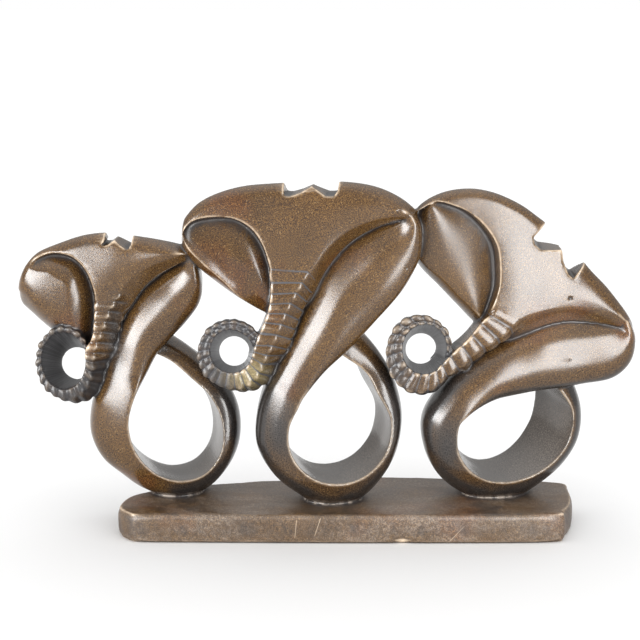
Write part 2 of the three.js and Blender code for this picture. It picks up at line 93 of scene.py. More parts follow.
def solid(name, rings):
    """Mesh object of the closed surface through the rings."""
    points, quads, caps = skin(rings)
    mesh = bpy.data.meshes.new(name)
    mesh.vertices.add(len(points))
    mesh.vertices.foreach_set("co", (points * MM).ravel())
    loops = np.concatenate([quads.ravel(), caps.ravel()])
    sizes = np.concatenate([np.full(len(quads), 4), np.full(len(caps), 3)])
    mesh.loops.add(len(loops))
    mesh.loops.foreach_set("vertex_index", loops)
    mesh.polygons.add(len(sizes))
    mesh.polygons.foreach_set("loop_start", np.cumsum(sizes) - sizes)
    mesh.update(calc_edges=True)
    mesh.validate()
    made = bpy.data.objects.new(name, mesh)
    bpy.context.scene.collection.objects.link(made)
    return made


def slab():
    """Rings carried over the slab's outline: under it from the middle out, round its lower edge, up its
    side, round its upper edge and back to the middle of the top. The outline is a Catmull-Rom curve,
    moved out along its own normals by the rounding."""
    closed = BASE_TOP + BASE_TOP[:1]
    outline = along(closed, np.linspace(0, 1, BASE_POINTS + 1)[:-1])
    step = np.roll(outline, -1, axis=0) - np.roll(outline, 1, axis=0)
    outward = np.stack([step[:, 1], -step[:, 0]], axis=1) / np.linalg.norm(step, axis=1)[:, None]
    turn = np.linspace(0, np.pi / 2, 6)
    cover = np.linspace(0.04, 0.97, 22)
    side = np.linspace(BASE_EDGE, BASE_HEIGHT - BASE_EDGE, 12)[1:-1]
    levels = [(share, 0.0, 0.0) for share in cover]
    levels += [(1.0, BASE_EDGE * np.sin(a), BASE_EDGE * (1 - np.cos(a))) for a in turn]
    levels += [(1.0, BASE_EDGE, z) for z in side]
    levels += [(1.0, BASE_EDGE * np.cos(a), BASE_HEIGHT - BASE_EDGE * (1 - np.sin(a))) for a in turn]
    levels += [(share, 0.0, BASE_HEIGHT) for share in cover[::-1]]
    rings = []
    for share, out, height in levels:
        plan = outline * share + outward * out
        rings.append(np.column_stack([plan, np.full(len(plan), height)]))
    return solid("slab", np.array(rings))


# The elephants
# Each is a broad head with swept ears, a notched crown, a ringed trunk that ends in a pierced curl, and
# a body that is one strap of stone: down from the right ear, round an open loop and up behind the ear.
# Every part of it is a closed surface through rounded sections, and they are joined and cut below.

FACE = -22.0                      # front of the broad face; depths count from the head's middle plane
FACE_CROWN = -23.5
HEAD_BACK = 16.0
HEAD_CORE = -5.0                  # depth to which the tips of the head thin down
BACK_INSET = 13.0                 # the head thins towards the back of the crown
EAR_DEPTH = 33.0                  # right ears and loops, from front to back
LOOP_DEPTH = 45.0
LOOP_END_DEPTH = 42.0
SWELL_SPREAD = 28.0               # degrees that a swell of a loop spreads to either side
UNDER_SPREAD = 45.0               # and the slope under the loop
CURL_RING_DEPTH = 1.6
CURL_DEPTH = 26.0
CURL_TAPER = 4.0                  # how much smaller the curl is at its back
HOLE_LEAD = 0.7                   # share of the way from the trunk's edge to the hole, before the curl

# What each row of an elephant holds, in millimetres, with depths counted from its middle plane:
# head: top x, z; lower edge of the crowned face x, z; bottom x, z; rounding; depth of the bottom edge
# cut: edge of the face x, z; rim of the left ear x, z; depths of the groove, the ear's crest, its rim
#      and beyond it
# ear: outer edge x, z; inner edge x, z; depth of the front; how far the groove beside it goes back
# loop_front: depths of the loop's front, from where it starts to its end
# tail: outer edge x, z; inner edge x, z; depth of the front; thickness; lean
# trunk: left edge x, z; right edge x, z; foot of the bevel x, z; depths of the front and the bevel
# crown: outline of what is cut out of the crown, x and z
# ring_depth and bead are how deep the trunk's ring cuts go and how flat it is between them: a bead of 1
# makes sausage-like rings, and less makes thinner cuts
left = {
    "middle": 5, "slant": -0.03, "over": -155, "noses": [40, 10],
    "head": [
        [-211.4, 160, -211.2, 160, -211.6, 159, 24, -6],
        [-210.9, 165, -209.3, 159, -212, 154.5, 24, -6],
        [-209.2, 170, -205, 157, -210.8, 148.8, 24, -6],
        [-205.3, 177, -200, 152, -205.5, 143.5, 24, -6],
        [-198, 184.5, -192, 145, -196, 134.5, 24, -6],
        [-186.5, 190, -182, 138, -184, 126, 24, -6],
        [-172, 195, -170, 134, -172, 121, 18, -6],
        [-158.5, 197.5, -160, 140, -160, 120, 6, -8],
        [-147, 198, -151, 154, -150, 134, 1, -10],
        [-137.5, 196.5, -143, 163, -139.5, 149, 0.8, -12],
        [-126, 194.7, -136, 171, -131, 161, 0.8, -13],
        [-115, 192.5, -125, 178, -120, 170.5, 0.8, -14],
        [-106, 190, -112, 183, -107, 178.5, 0.8, -17],
        [-99, 187, -102, 184.3, -99, 182, 0.8, -19],
        [-94, 183, -94, 183, -94, 182, 0.8, -20],
    ],
    "cut": [
        [-205, 178, -203, 176, -21.6, -21.8, -22, -30],
        [-199, 182.5, -196.5, 175, -18, -20, -21.5, -27],
        [-191, 185.8, -190, 176, -15.5, -18.5, -21, -25.5],
        [-182.5, 186, -185, 174.5, -14, -17.5, -20.8, -24.5],
        [-173.5, 183, -178.5, 171.5, -13, -17, -20.8, -24.5],
        [-166, 175, -174.5, 166, -12, -16.5, -20.8, -24.5],
        [-161.5, 163.5, -173, 158.5, -11, -16, -20.5, -24],
        [-159.8, 152, -173, 149, -10, -15.5, -20, -24],
        [-160.5, 137, -174, 136, -9, -14.5, -19, -23.5],
        [-163, 124, -176, 124, -8, -13, -18, -23],
    ],
    "ear": [
        [-102.5, 187, -96, 182.5, -19, 1],
        [-107, 177, -92.5, 164, -18, 6],
        [-120, 170.5, -94.5, 151, -17, 10],
        [-131, 161, -103, 139, -18, 10],
        [-139.5, 149, -114, 127.5, -19, 10],
        [-147, 134, -123, 117, -20, 9],
        [-153.5, 117, -130, 104, -21, 7],
        [-160, 99.5, -135, 94.5, -23, 5],
    ],
    "loop_from": 160,
    "outer": {
        "x": -119, "z": 67.5, "long": 51, "short": 48.4, "turn": -40, "swells": [[-4, 232], [4, 282]],
    },
    "ridge": {"x": -110.3, "z": 67.5, "long": 35.5, "short": 28.9, "turn": 115, "swells": []},
    "loop_front": [[-24], [-24], [-21], [-15.5], [-10], [-6.5], [-3]],
    "lean": [10, 10], "rise": -0.12, "under": 8,
    "tail": [
        [-86, 103, -98, 96.5, -1, 36, 8],
        [-103, 117, -114, 110.5, -2, 32, 4],
        [-122, 131, -131, 121, -5, 26, 0],
        [-139, 147, -143, 137, -9, 12, 0],
    ],
    "trunk_pitch": 7.4, "ring_depth": 1.5, "bead": 0.85,
    "trunk": [
        [-159, 168, -141.5, 168, -134, 163, -21, 8],
        [-160.7, 159.7, -144.3, 159.8, -136.4, 157, -22, 9],
        [-161.3, 149.2, -150.7, 149.3, -142, 146.5, -23, 9],
        [-161.9, 140.1, -154.5, 140.1, -145.3, 137, -23, 9],
        [-163.4, 130.8, -158.3, 130.9, -148, 128, -23, 9.5],
        [-168, 122.5, -161.4, 122.9, -149.8, 120, -23, 10],
    ],
    "curl": {
        "x": -181.7, "z": 113.6, "outer": 18.7, "tall": 1.33, "bevel": 9, "pitch": 6.6,
        "start": -5, "end": -378, "front": -23,
        "mouth_x": -182.4, "mouth_z": 115.8, "mouth": 14.5, "hole_x": -176.1, "hole_z": 108, "hole": 9.9,
    },
    "crown": [
        [-155.5, 210], [-153.5, 197.5], [-154, 193], [-157.5, 190], [-152, 191], [-147.5, 194.5],
        [-143.5, 191], [-139, 188], [-137, 192], [-135, 210],
    ],
    "crown_turn": 0.05,
}

centre = {
    "middle": -8, "slant": 0, "over": -30, "noses": [26, 12],
    "head": [
        [-104.2, 198, -103.5, 198, -104.6, 197, 8, -8],
        [-104, 202, -103, 196, -104.8, 193, 8, -8],
        [-103.4, 206, -100, 192, -104, 189, 8, -8],
        [-101, 211, -96, 188, -101, 183.5, 8, -8],
        [-93, 219, -88, 181, -94, 175.5, 8, -8],
        [-80, 225.3, -78, 173, -83, 166.5, 8, -8],
        [-64.5, 229.5, -64, 163, -67, 155, 8, -8],
        [-47, 231.2, -50, 158, -51, 146, 6, -8],
        [-30, 232, -38, 158, -37, 143, 1, -10],
        [-14, 232.6, -22, 177, -23.5, 155.5, 0.8, -12],
        [0, 232.3, -11, 192, -12, 176.5, 0.8, -12],
        [12, 230.7, 2, 203, 1, 192, 0.8, -13],
        [23, 227.7, 16, 209, 16, 202, 0.8, -14],
        [33, 222.5, 28, 211, 29, 207.3, 0.8, -17],
        [41, 216.3, 38, 211, 38.5, 209.8, 0.8, -20.5],
        [45.5, 211.5, 45, 211, 45, 210.7, 0.8, -21.5],
    ],
    "cut": [
        [-103.5, 200.5, -103, 197, -19, -20, -20, -26],
        [-97, 208, -101, 193, -13, -15.5, -17, -26],
        [-85.5, 211, -94, 184, -10, -14.5, -16, -25],
        [-71.5, 210.5, -85, 174.5, -8, -14, -15.5, -24],
        [-60.5, 204.5, -75, 166, -8, -14.5, -14, -18],
        [-53, 194, -66, 157, -8, -15, -11, -8],
        [-48.5, 180, -57, 146, -8, -15, -8, 0],
        [-46.3, 168, -50, 141, -8, -14, -8, 0],
        [-46.5, 154, -45, 139, -8, -12, -8, 0],
    ],
    "ear": [
        [33, 215, 43.5, 212.5, -21, 0.5],
        [36, 209.5, 47.6, 203.5, -21, 2.5],
        [29, 206, 48, 191, -20.5, 6],
        [17, 202, 45.5, 179.5, -20, 9],
        [1, 192, 36, 162, -20, 10],
        [-12, 176.5, 20.5, 143.5, -20, 10],
        [-23.5, 155.5, 3.5, 124.5, -20.5, 10],
        [-35, 132, -13.5, 109.5, -21, 9],
        [-46, 112, -26, 95.5, -22, 7],
    ],
    "loop_from": 146,
    "outer": {
        "x": -11.6, "z": 72.2, "long": 56.9, "short": 49.1, "turn": 82,
        "swells": [[-2, 170], [-5.5, 236], [4, 278]],
    },
    "ridge": {"x": -3.1, "z": 69.1, "long": 33.9, "short": 32.8, "turn": 40, "swells": []},
    "loop_front": [[-23], [-23], [-22.5], [-19.5], [-15], [-10], [-5]],
    "lean": [7, 10.5], "rise": 0.2, "under": 7,
    "tail": [
        [23.5, 115.5, 13.5, 105.5, -1, 36, 8.5],
        [11, 130.5, -0.5, 116.5, -1, 32, 4],
        [-7, 148.5, -20, 130.5, -4, 26, 0],
        [-24.5, 167, -32, 149, -9, 12, 0],
    ],
    "trunk_pitch": 7.6, "ring_depth": 0.9, "bead": 0.5,
    "trunk": [
        [-47, 186, -21, 183, -17, 177, -21.5, 7],
        [-48.5, 176, -24.9, 174, -20.5, 167.5, -22.5, 7],
        [-47.7, 167.2, -28.4, 167.6, -22.5, 160, -23, 8],
        [-49, 152.8, -36.4, 153.2, -28.5, 147, -23, 8],
        [-53.5, 140, -42.8, 138.5, -33.5, 134, -23, 8],
        [-57.5, 130.5, -46, 130.5, -36.5, 126, -23, 8.5],
    ],
    "curl": {
        "x": -73, "z": 122.9, "outer": 22.2, "tall": 1.03, "bevel": 9.5, "pitch": 6.6,
        "start": -12, "end": -386, "front": -23.5,
        "mouth_x": -73, "mouth_z": 125.2, "mouth": 13.7, "hole_x": -72.3, "hole_z": 119.5, "hole": 9,
    },
    "crown": [
        [-39.5, 245], [-39.5, 224.5], [-36, 224], [-29, 226.5], [-22, 230.5], [-17, 227],
        [-13, 224], [-8, 224], [-5.5, 228], [-5, 245],
    ],
    "crown_turn": 0.1,
}

right = {
    "middle": 6, "slant": 0.05, "over": 125, "noses": [30, 14],
    "head": [
        [40, 199, 41, 198, 40, 196, 9, -6],
        [42, 210, 46, 192, 42, 184, 9, -6],
        [50, 218.5, 54, 182, 49, 173, 9, -6],
        [64, 225, 66, 172, 60, 162, 9, -6],
        [79, 226.5, 77, 160, 71, 150, 9, -6],
        [95, 223.5, 88, 150, 82, 139, 8, -6],
        [110, 216.5, 97, 148, 93, 131, 4, -8],
        [122, 208.5, 108, 142, 104, 126, 1, -10],
        [134, 199, 119, 145.5, 116, 131, 0.8, -12],
        [146, 187, 132, 149, 130, 137, 0.8, -13],
        [158, 172.5, 147, 149.7, 145, 139.7, 0.8, -13],
        [169, 161, 161, 147.5, 159, 139, 0.8, -14],
        [179, 148.5, 173, 143, 171.5, 137.5, 0.8, -17],
        [185.3, 139, 181, 138.5, 180, 135.5, 0.8, -20.5],
        [187.6, 133, 187.2, 132.8, 187, 132.5, 0.8, -21.5],
    ],
    "cut": [
        [57, 220, 52, 217, -20, -21, -16, -4],
        [64.5, 218, 44, 210, -15, -20, -12, -4],
        [77.5, 212.5, 38, 198, -12, -20, -12, -4],
        [89, 202, 38, 186, -11, -20, -12, -4],
        [96, 190, 44, 172, -10, -20, -12, -4],
        [98, 175, 56, 160, -10, -19, -12, -4],
        [97.5, 163, 68, 148, -10, -18, -12, -4],
        [93, 149, 78, 138, -10, -16, -10, -4],
        [88, 139, 84, 132, -10, -14, -10, -4],
    ],
    "ear": [
        [177, 144, 184.5, 139.5, -21.3, 0.5],
        [178.5, 136.5, 188.6, 127.5, -21.3, 2.5],
        [171, 137.5, 186, 112, -21.3, 6],
        [160, 139, 174.5, 101, -21, 8],
        [143, 139.5, 153, 96.5, -21.5, 9],
        [126.5, 136, 133.5, 94, -22, 9],
        [111, 129, 116, 91.5, -22, 9],
        [94, 121, 101, 88.5, -22.5, 9],
        [78, 111, 89, 84.5, -23, 8],
        [64, 97, 79, 78.5, -24, 6],
    ],
    "loop_from": 174,
    "outer": {
        "x": 102.8, "z": 70.1, "long": 54.6, "short": 51.4, "turn": 44, "swells": [[4, 272], [1.5, 350]],
    },
    "ridge": {"x": 111.2, "z": 67.7, "long": 39.6, "short": 33.7, "turn": 24.8, "swells": []},
    "loop_front": [[-24], [-23.5], [-20.5], [-16.5], [-14], [-13], [-12]],
    "lean": [2, 21], "rise": 0.42, "under": 8,
    "tail": [
        [140, 106, 132, 99, -11, 38, 18],
        [126, 116, 119, 108, -9, 30, 8],
        [107.5, 125.5, 104.5, 117.5, -11, 12, 0],
    ],
    "trunk_pitch": 10.8, "ring_depth": 1.4, "bead": 0.55,
    "trunk": [
        [100, 154, 114, 145, 117, 140, -20.8, 5],
        [94, 147.5, 109, 139.5, 111, 134.5, -22.5, 5],
        [87.8, 142.2, 100.3, 131.3, 102, 127, -23.2, 4.5],
        [77.7, 129.6, 84.2, 120.9, 86, 116.5, -23.5, 4.5],
        [70.5, 122.8, 76.6, 113.4, 78.5, 109, -23, 4.5],
    ],
    "curl": {
        "x": 47.6, "z": 120.3, "outer": 22.5, "tall": 1.16, "bevel": 3, "pitch": 8.2,
        "start": -35, "end": -410, "front": -22,
        "mouth_x": 50.8, "mouth_z": 123.9, "mouth": 14.5, "hole_x": 49.5, "hole_z": 118.5, "hole": 9.6,
    },
    "crown": [
        [136, 214], [128, 205.5], [119, 196], [120, 191.5], [124, 188], [137.5, 187.5], [138.5, 180],
        [142, 172], [145.5, 169], [153, 179.5], [162, 190],
    ],
    "crown_turn": 0.05,
}


def smoothstep(x, low, high):
    """0 below low, 1 above high, and 3s^2 - 2s^3 between them."""
    s = np.clip((x - low) / (high - low), 0, 1)
    return s * s * (3 - 2 * s)


def falls(x, low, high):
    """1 below low, 0 above high, and the same curve between them."""
    return smoothstep(-x, -high, -low)


def mix(a, b, t):
    """a where t is 0, b where it is 1, and in proportion between them."""
    return a + (b - a) * t


def rounded(corners, radii, arcs, sides):
    """Sections with rounded corners. corners is an array of sections by corners by 3. Each corner becomes
    a quadratic curve that leaves and meets its two sides at its radius, or half way along if that is
    less, and the straight rest of each side is stepped evenly."""
    count = corners.shape[1]
    starts = []
    finishes = []
    for i in range(count):
        here = corners[:, i]
        for other, kept in ((corners[:, i - 1], starts), (corners[:, (i + 1) % count], finishes)):
            side = other - here
            length = np.linalg.norm(side, axis=1) + 1e-9
            reach = np.minimum(radii[:, i], length / 2) / length
            kept.append(here + side * reach[:, None])
    points = []
    for i in range(count):
        s = np.linspace(0, 1, arcs[i])[None, :, None]
        a, b, c = starts[i][:, None], corners[:, i][:, None], finishes[i][:, None]
        points.append((1 - s) ** 2 * a + 2 * s * (1 - s) * b + s**2 * c)
        s = (np.arange(1, sides[i] + 1) / (sides[i] + 1))[None, :, None]
        points.append(mix(c, starts[(i + 1) % count][:, None], s))
    return np.concatenate(points, axis=1)


def plane_of(beast):
    """Depth of an elephant's middle plane at x: it turns a little about the upright."""
    return lambda x: beast["middle"] + (x - beast["over"]) * beast["slant"]


def head(beast):
    """The head, lofted from its left tip to its right. Each section runs over the back, the crown's rim,
    the crowned face, its lower edge and the lower rim. Towards a tip it thins to the core depth as a
    circle does, by the square root of 1 - (1 - height / nose)^2."""
    plane = plane_of(beast)
    t = np.linspace(0, 1, 131)
    tx, tz, ex, ez, bx, bz, inset, foot = along(beast["head"], t).T
    height = np.hypot(bx - tx, bz - tz) + 0.01
    nose = mix(beast["noses"][0], beast["noses"][1], smoothstep(t, 0.3, 0.7))
    full = np.sqrt(1 - (1 - np.minimum(1, height / nose)) ** 2)
    tip = 1 - full

    def put(x, z, depth):
        return np.stack([x, plane(x) + HEAD_CORE + (depth - HEAD_CORE) * full, z], axis=1)

    def at(down, depth):
        share = np.minimum(down, 0.5 * height) / height
        return put(mix(tx, bx, share), mix(tz, bz, share), depth)

    corners = np.stack([
        at(BACK_INSET, HEAD_BACK),
        at(-1.2 * full, mix(-15.0, -9.0, tip)),
        at(mix(2.5, 6.0, tip), mix(FACE + 0.6, -12.0, tip)),
        put((tx + ex) / 2, (tz + ez) / 2, FACE_CROWN),
        put(ex, ez, FACE),
        put(bx, bz, foot),
        put(bx, bz, HEAD_BACK),
    ], axis=1)
    one = np.ones_like(t)
    radii = np.stack([14 * one, 5 * one, 5 * one, 40 * one, inset, inset, 9 * one], axis=1)
    return solid("head", rounded(corners, radii, (8, 6, 6, 14, 8, 8, 8), (1, 1, 3, 3, 2, 5, 12)))


def ear_cut(beast):
    """What is carved away over the left ear: a wall down from the face's edge, the groove at its foot,
    and the front of the ear, lofted along the edge."""
    plane = plane_of(beast)
    above = -34.0
    wall = 2.5
    t = np.linspace(0, 1, 121)
    ex, ez, ox, oz, groove, crest, rim, brim = along(beast["cut"], t).T
    width = np.hypot(ox - ex, oz - ez)

    def at(across, depth):
        share = across / width
        x = mix(ex, ox, share)
        return np.stack([x, plane(x) + depth, mix(ez, oz, share)], axis=1)

    slope = wall / (groove - FACE)
    one = np.ones_like(t)
    corners = np.stack([
        at((above - FACE) * slope, above * one),
        at(wall * one, groove),
        at(wall + 0.45 * (width - wall), crest),
        at(0.88 * width, rim),
        at(width + 8, brim),
        at(width + 8, above * one),
    ], axis=1)
    radii = np.stack([0 * one, 2 * one, 30 * one, 8 * one, 0 * one, 0 * one], axis=1)
    return solid("ear_cut", rounded(corners, radii, (1, 6, 16, 10, 1, 1), (4, 2, 4, 6, 2, 6)))


def on_ellipse(ring, degrees):
    """Point of a turned ellipse at a polar angle in degrees. Each of ring["swells"], (out, at), moves it
    out by out * exp(-((degrees - at) / spread)^2)."""
    turned = np.radians(degrees - ring["turn"])
    radius = 1 / np.hypot(np.cos(turned) / ring["long"], np.sin(turned) / ring["short"])
    for out, at in ring["swells"]:
        radius = radius + out * np.exp(-(((degrees - at) / SWELL_SPREAD) ** 2))
    angle = np.radians(degrees)
    return ring["x"] + radius * np.cos(angle), ring["z"] + radius * np.sin(angle)


def strap_rows(beast):
    """Rows that the strap is lofted through: down the ear, round the loop by the two ellipses, and up
    its tail. Each is [outer x, z, inner x, z, front, depth, groove, share of loop, lean, slope under]."""
    ear = np.array(beast["ear"], float)
    count = np.arange(len(ear))
    loop = smoothstep(count, len(ear) - 3.5, len(ear) - 0.5)
    zero = np.zeros(len(ear))
    down = np.column_stack([ear[:, :5], mix(EAR_DEPTH, LOOP_DEPTH, loop), ear[:, 5], loop, zero, zero])
    angle = np.linspace(beast["loop_from"], 392, 11)
    ax, az = on_ellipse(beast["outer"], angle)
    bx, bz = on_ellipse(beast["ridge"], angle + 12 * smoothstep(angle, 350, 390))
    turn = smoothstep(angle, 180, 370)
    front = along(beast["loop_front"], np.linspace(0, 1, 11))[:, 0]
    one = np.ones(11)
    lean = mix(beast["lean"][0], beast["lean"][1], turn)
    under = beast["under"] * np.exp(-(((angle - 270) / UNDER_SPREAD) ** 2))
    depth = mix(LOOP_DEPTH, LOOP_END_DEPTH, turn)
    ring = np.column_stack([ax, az, bx, bz, front, depth, 4 * one, one, lean, under])
    tail = np.array(beast["tail"], float)
    one = np.ones(len(tail))
    up = np.column_stack([tail[:, :6], 4 * one, one, tail[:, 6], 0 * one])
    return np.concatenate([down, ring, up])


def strap(beast):
    """The right ear, the neck and the loop, lofted through the strap's rows. Across it the section
    changes from the ear's soft cushion to the loop's, which has a crisp ridge round its opening."""
    plane = plane_of(beast)
    t = np.linspace(0, 1, 261)
    ax, az, bx, bz, front, depth, groove, loop, lean, under = along(strap_rows(beast), t).T
    width = np.hypot(bx - ax, bz - az)
    crest = 1.5 * np.minimum(1, groove / 6)
    ear = [
        (-1, groove + 4, 0.5, 0), (0.04 * width, groove, 3, 0), (0.3 * width, crest, 14, 0),
        (0.7 * width, 0, 14, 0), (0.985 * width, 5, 6, 0), (width, 14, 8, 0),
        (0.9 * width, depth, 8, 0), (-1, depth, 8, 0),
    ]
    ring = [
        (0, 0.45 * depth + 0.5 * under, 14, 0), (0.1 * width, 8 + under, 8, 0),
        (0.45 * width, 2 + 0.4 * under, 8, 0),
        (0.92 * width, 0.2, 2, 0), (width, 0, 0.7, 0), (width, depth, 3, lean),
        (0.6 * width, depth + 1, 8, 0.8 * lean), (0.1 * width, 0.92 * depth, 10, 0.25 * lean),
    ]
    corners = []
    radii = []
    for of_ear, of_ring in zip(ear, ring):
        across, back, radius, shift = (mix(a, b, loop) for a, b in zip(of_ear, of_ring))
        share = across / width
        x = mix(ax, bx, share)
        y = plane(x) + front + back
        corners.append(np.stack([x - shift, y, mix(az, bz, share) + shift * beast["rise"]], axis=1))
        radii.append(radius * np.ones_like(t))
    sections = rounded(np.stack(corners, axis=1), np.stack(radii, axis=1),
                       (8, 8, 8, 7, 6, 6, 6, 8), (1, 1, 2, 2, 1, 8, 3, 4))
    return solid("strap", sections)


def trunk_rows(beast):
    """Rows that the trunk is lofted through. Each is [left x, z, right edge of the front x, z, foot of
    the bevel x, z, depth of the front, of the bevel, back left x, z, back right x, z, share of curl]."""
    down = np.array(beast["trunk"], float)
    curl = beast["curl"]
    start = np.radians(curl["start"])
    hole = np.array([
        curl["hole_x"] + curl["hole"] * np.cos(start),
        curl["hole_z"] + curl["hole"] * np.sin(start),
    ])
    inner = down[:, :2].copy()
    inner[-1] = mix(inner[-1], hole, HOLE_LEAD)
    down = np.column_stack([down, inner, down[:, 4:6], np.zeros(len(down))])
    share = np.linspace(0, 1, 15)
    angle = np.radians(mix(curl["start"], curl["end"], share))
    cos = np.cos(angle)
    rise = np.sin(angle)
    sin = curl["tall"] * rise
    bevel = curl["bevel"] * (1 - smoothstep(share, 0.05, 0.28))
    tip = smoothstep(share, 0.75, 1)
    far = curl["outer"] - 1.5 * tip
    x, z = curl["x"], curl["z"]
    back = far + bevel - CURL_TAPER
    ring = np.column_stack([
        curl["mouth_x"] + curl["mouth"] * cos, curl["mouth_z"] + curl["mouth"] * sin,
        x + far * cos, z + far * sin,
        x + (far + bevel) * cos, z + (far + bevel) * sin,
        curl["front"] + 6 * tip, 2 + 1.2 * bevel,
        curl["hole_x"] + curl["hole"] * cos, curl["hole_z"] + curl["hole"] * rise,
        x + back * cos, z + back * sin, np.ones(15),
    ])
    return np.concatenate([down, ring])


def give(mesh, name, values):
    """Stores one number for each point of the mesh, for the material to read."""
    mesh.attributes.new(name, "FLOAT", "POINT").data.foreach_set("value", values.astype(np.float32))


def trunk(beast):
    """The trunk and its curl. Carved rings are counted along the front's right edge at their own pitch.
    At place p of that count the section is drawn in by depth * (1 - |sin(pi p)|^bead), so that it is cut
    at each whole number. The count, and how far round the curl it is, are kept on the points."""
    plane = plane_of(beast)
    rows = trunk_rows(beast)
    t = np.linspace(0, 1, 4001)
    line = along(rows, t)
    pitch = mix(beast["trunk_pitch"], beast["curl"]["pitch"], line[1:, 12])
    steps = np.hypot(*np.diff(line[:, 2:4], axis=0).T) / pitch
    counted = np.concatenate([[0], np.cumsum(steps)])
    rings = round(counted[-1])
    place = np.linspace(0, rings, rings * 16 + 1)
    t = np.interp(place * counted[-1] / rings, counted, t)
    lx, lz, fx, fz, gx, gz, face, bevel, hx, hz, bx, bz, curled = along(rows, t).T
    groove = 1 - np.abs(np.sin(np.pi * place)) ** beast["bead"]
    cut = groove * mix(beast["ring_depth"], CURL_RING_DEPTH, curled)
    across = np.hypot(fx - lx, fz - lz)
    ux, uz = (fx - lx) / across, (fz - lz) / across
    one = np.ones_like(t)

    def put(x, depth, z, inward=0.0):
        return np.stack([x + ux * inward, plane(x) + face + depth, z + uz * inward], axis=1)

    corners = np.stack([
        put(bx, CURL_DEPTH, bz, -cut),
        put(gx, bevel + 2, gz, -cut),
        put(gx, bevel, gz, -cut),
        put(fx, cut, fz, -cut),
        put(lx, cut, lz),
        put(hx, CURL_DEPTH, hz),
    ], axis=1)
    radii = np.stack([3 * one, 2 * one, 1 * one, 1 + curled, 1 * one, 3 * one], axis=1)
    sections = rounded(corners, radii, (4, 3, 3, 5, 4, 4), (5, 0, 2, 3, 6, 3))
    made = solid("trunk", sections)
    straight = len(beast["trunk"]) - 1
    coil = np.clip((t * (len(rows) - 1) - straight) / (len(rows) - 1 - straight), 0, 1)
    kept = np.stack([place, coil, 0 * place], axis=1)
    kept = np.concatenate([np.repeat(kept, sections.shape[1], axis=0), kept[[0, -1]]])
    made.data.attributes.new("trunk", "FLOAT_VECTOR", "POINT").data.foreach_set("vector", kept.ravel())
    return made


def crown_cut(beast):
    """What is cut out of the crown: its outline carried through the head, sheared a little sideways."""
    plane = plane_of(beast)
    outline = np.array(beast["crown"], float)
    depth = np.linspace(-60, 60, 41)[:, None]
    x = outline[None, :, 0] + beast["crown_turn"] * (depth - plane(outline[None, :, 0]) - FACE)
    z = np.broadcast_to(outline[None, :, 1], x.shape)
    y = np.broadcast_to(depth, x.shape)
    return solid("crown_cut", np.stack([x, y, z], axis=-1))


# The whole carving
# The parts of the form are joined and cut as solids, because the real carving is one polished stone.
# Its edges are then worn down, the carver's slips and the chips are cut into it, and what the wear, the
# dirt, the painted shade and the painted highlights follow is measured on the surface itself.

def combine(base, others, operation):
    """Joins the others to the base, or cuts them from it, one at a time, and deletes them."""
    for other in others:
        change = base.modifiers.new(operation.lower(), "BOOLEAN")
        change.operation = operation
        change.solver = "MANIFOLD"
        change.object = other
        with bpy.context.temp_override(object=base, active_object=base):
            bpy.ops.object.modifier_apply(modifier=change.name)
        bpy.data.objects.remove(other)
    return base


carving = slab()
guides = []
for beast in (left, centre, right):
    blank = combine(head(beast), [ear_cut(beast), crown_cut(beast)], "DIFFERENCE")
    ringed = trunk(beast)
    guide = bpy.data.objects.new("trunk_guide", ringed.data.copy())
    bpy.context.scene.collection.objects.link(guide)
    guides.append(guide)
    combine(carving, [blank, strap(beast), ringed], "UNION")
carving.name = "elephant_carving"

STONE_GRID = 0.66 * MM            # spacing of the even skin that replaces the joined solids' faces
SKIN_TRIANGLES = 190_000          # what is kept of it, most of it where the form bends
EDGE_PASSES = 2                   # rounds of smoothing that wear the edges down


def apply_modifier(piece, kind, **settings):
    """Puts a modifier on the piece and makes its result the piece's mesh."""
    change = piece.modifiers.new(kind.lower(), kind)
    for name, value in settings.items():
        setattr(change, name, value)
    with bpy.context.temp_override(object=piece, active_object=piece):
        bpy.ops.object.modifier_apply(modifier=change.name)


def positions_of(mesh):
    """Places of the mesh's points, in millimetres."""
    place = np.empty(len(mesh.vertices) * 3)
    mesh.vertices.foreach_get("co", place)
    return place.reshape(-1, 3) / MM


def normals_of(mesh):
    """Directions that the surface faces at the mesh's points."""
    normal = np.empty(len(mesh.vertices) * 3)
    mesh.vertex_normals.foreach_get("vector", normal)
    return normal.reshape(-1, 3)


def neighbours_of(mesh):
    """Ends of every edge, counted from both sides, and how many edges meet at each point."""
    edges = np.empty(len(mesh.edges) * 2, dtype=np.int32)
    mesh.edges.foreach_get("vertices", edges)
    a, b = edges.reshape(-1, 2).T
    ends = np.concatenate([a, b])
    others = np.concatenate([b, a])
    return ends, others, np.bincount(ends, minlength=len(mesh.vertices))


def smoothed(values, neighbours, passes):
    """Values moved to the mean of their neighbours' values, again and again."""
    ends, others, count = neighbours
    columns = values if values.ndim == 2 else values[:, None]
    for _ in range(passes):
        columns = np.stack([
            np.bincount(ends, weights=c[others], minlength=len(c)) / count
            for c in columns.T
        ], axis=1)
    return columns if values.ndim == 2 else columns[:, 0]


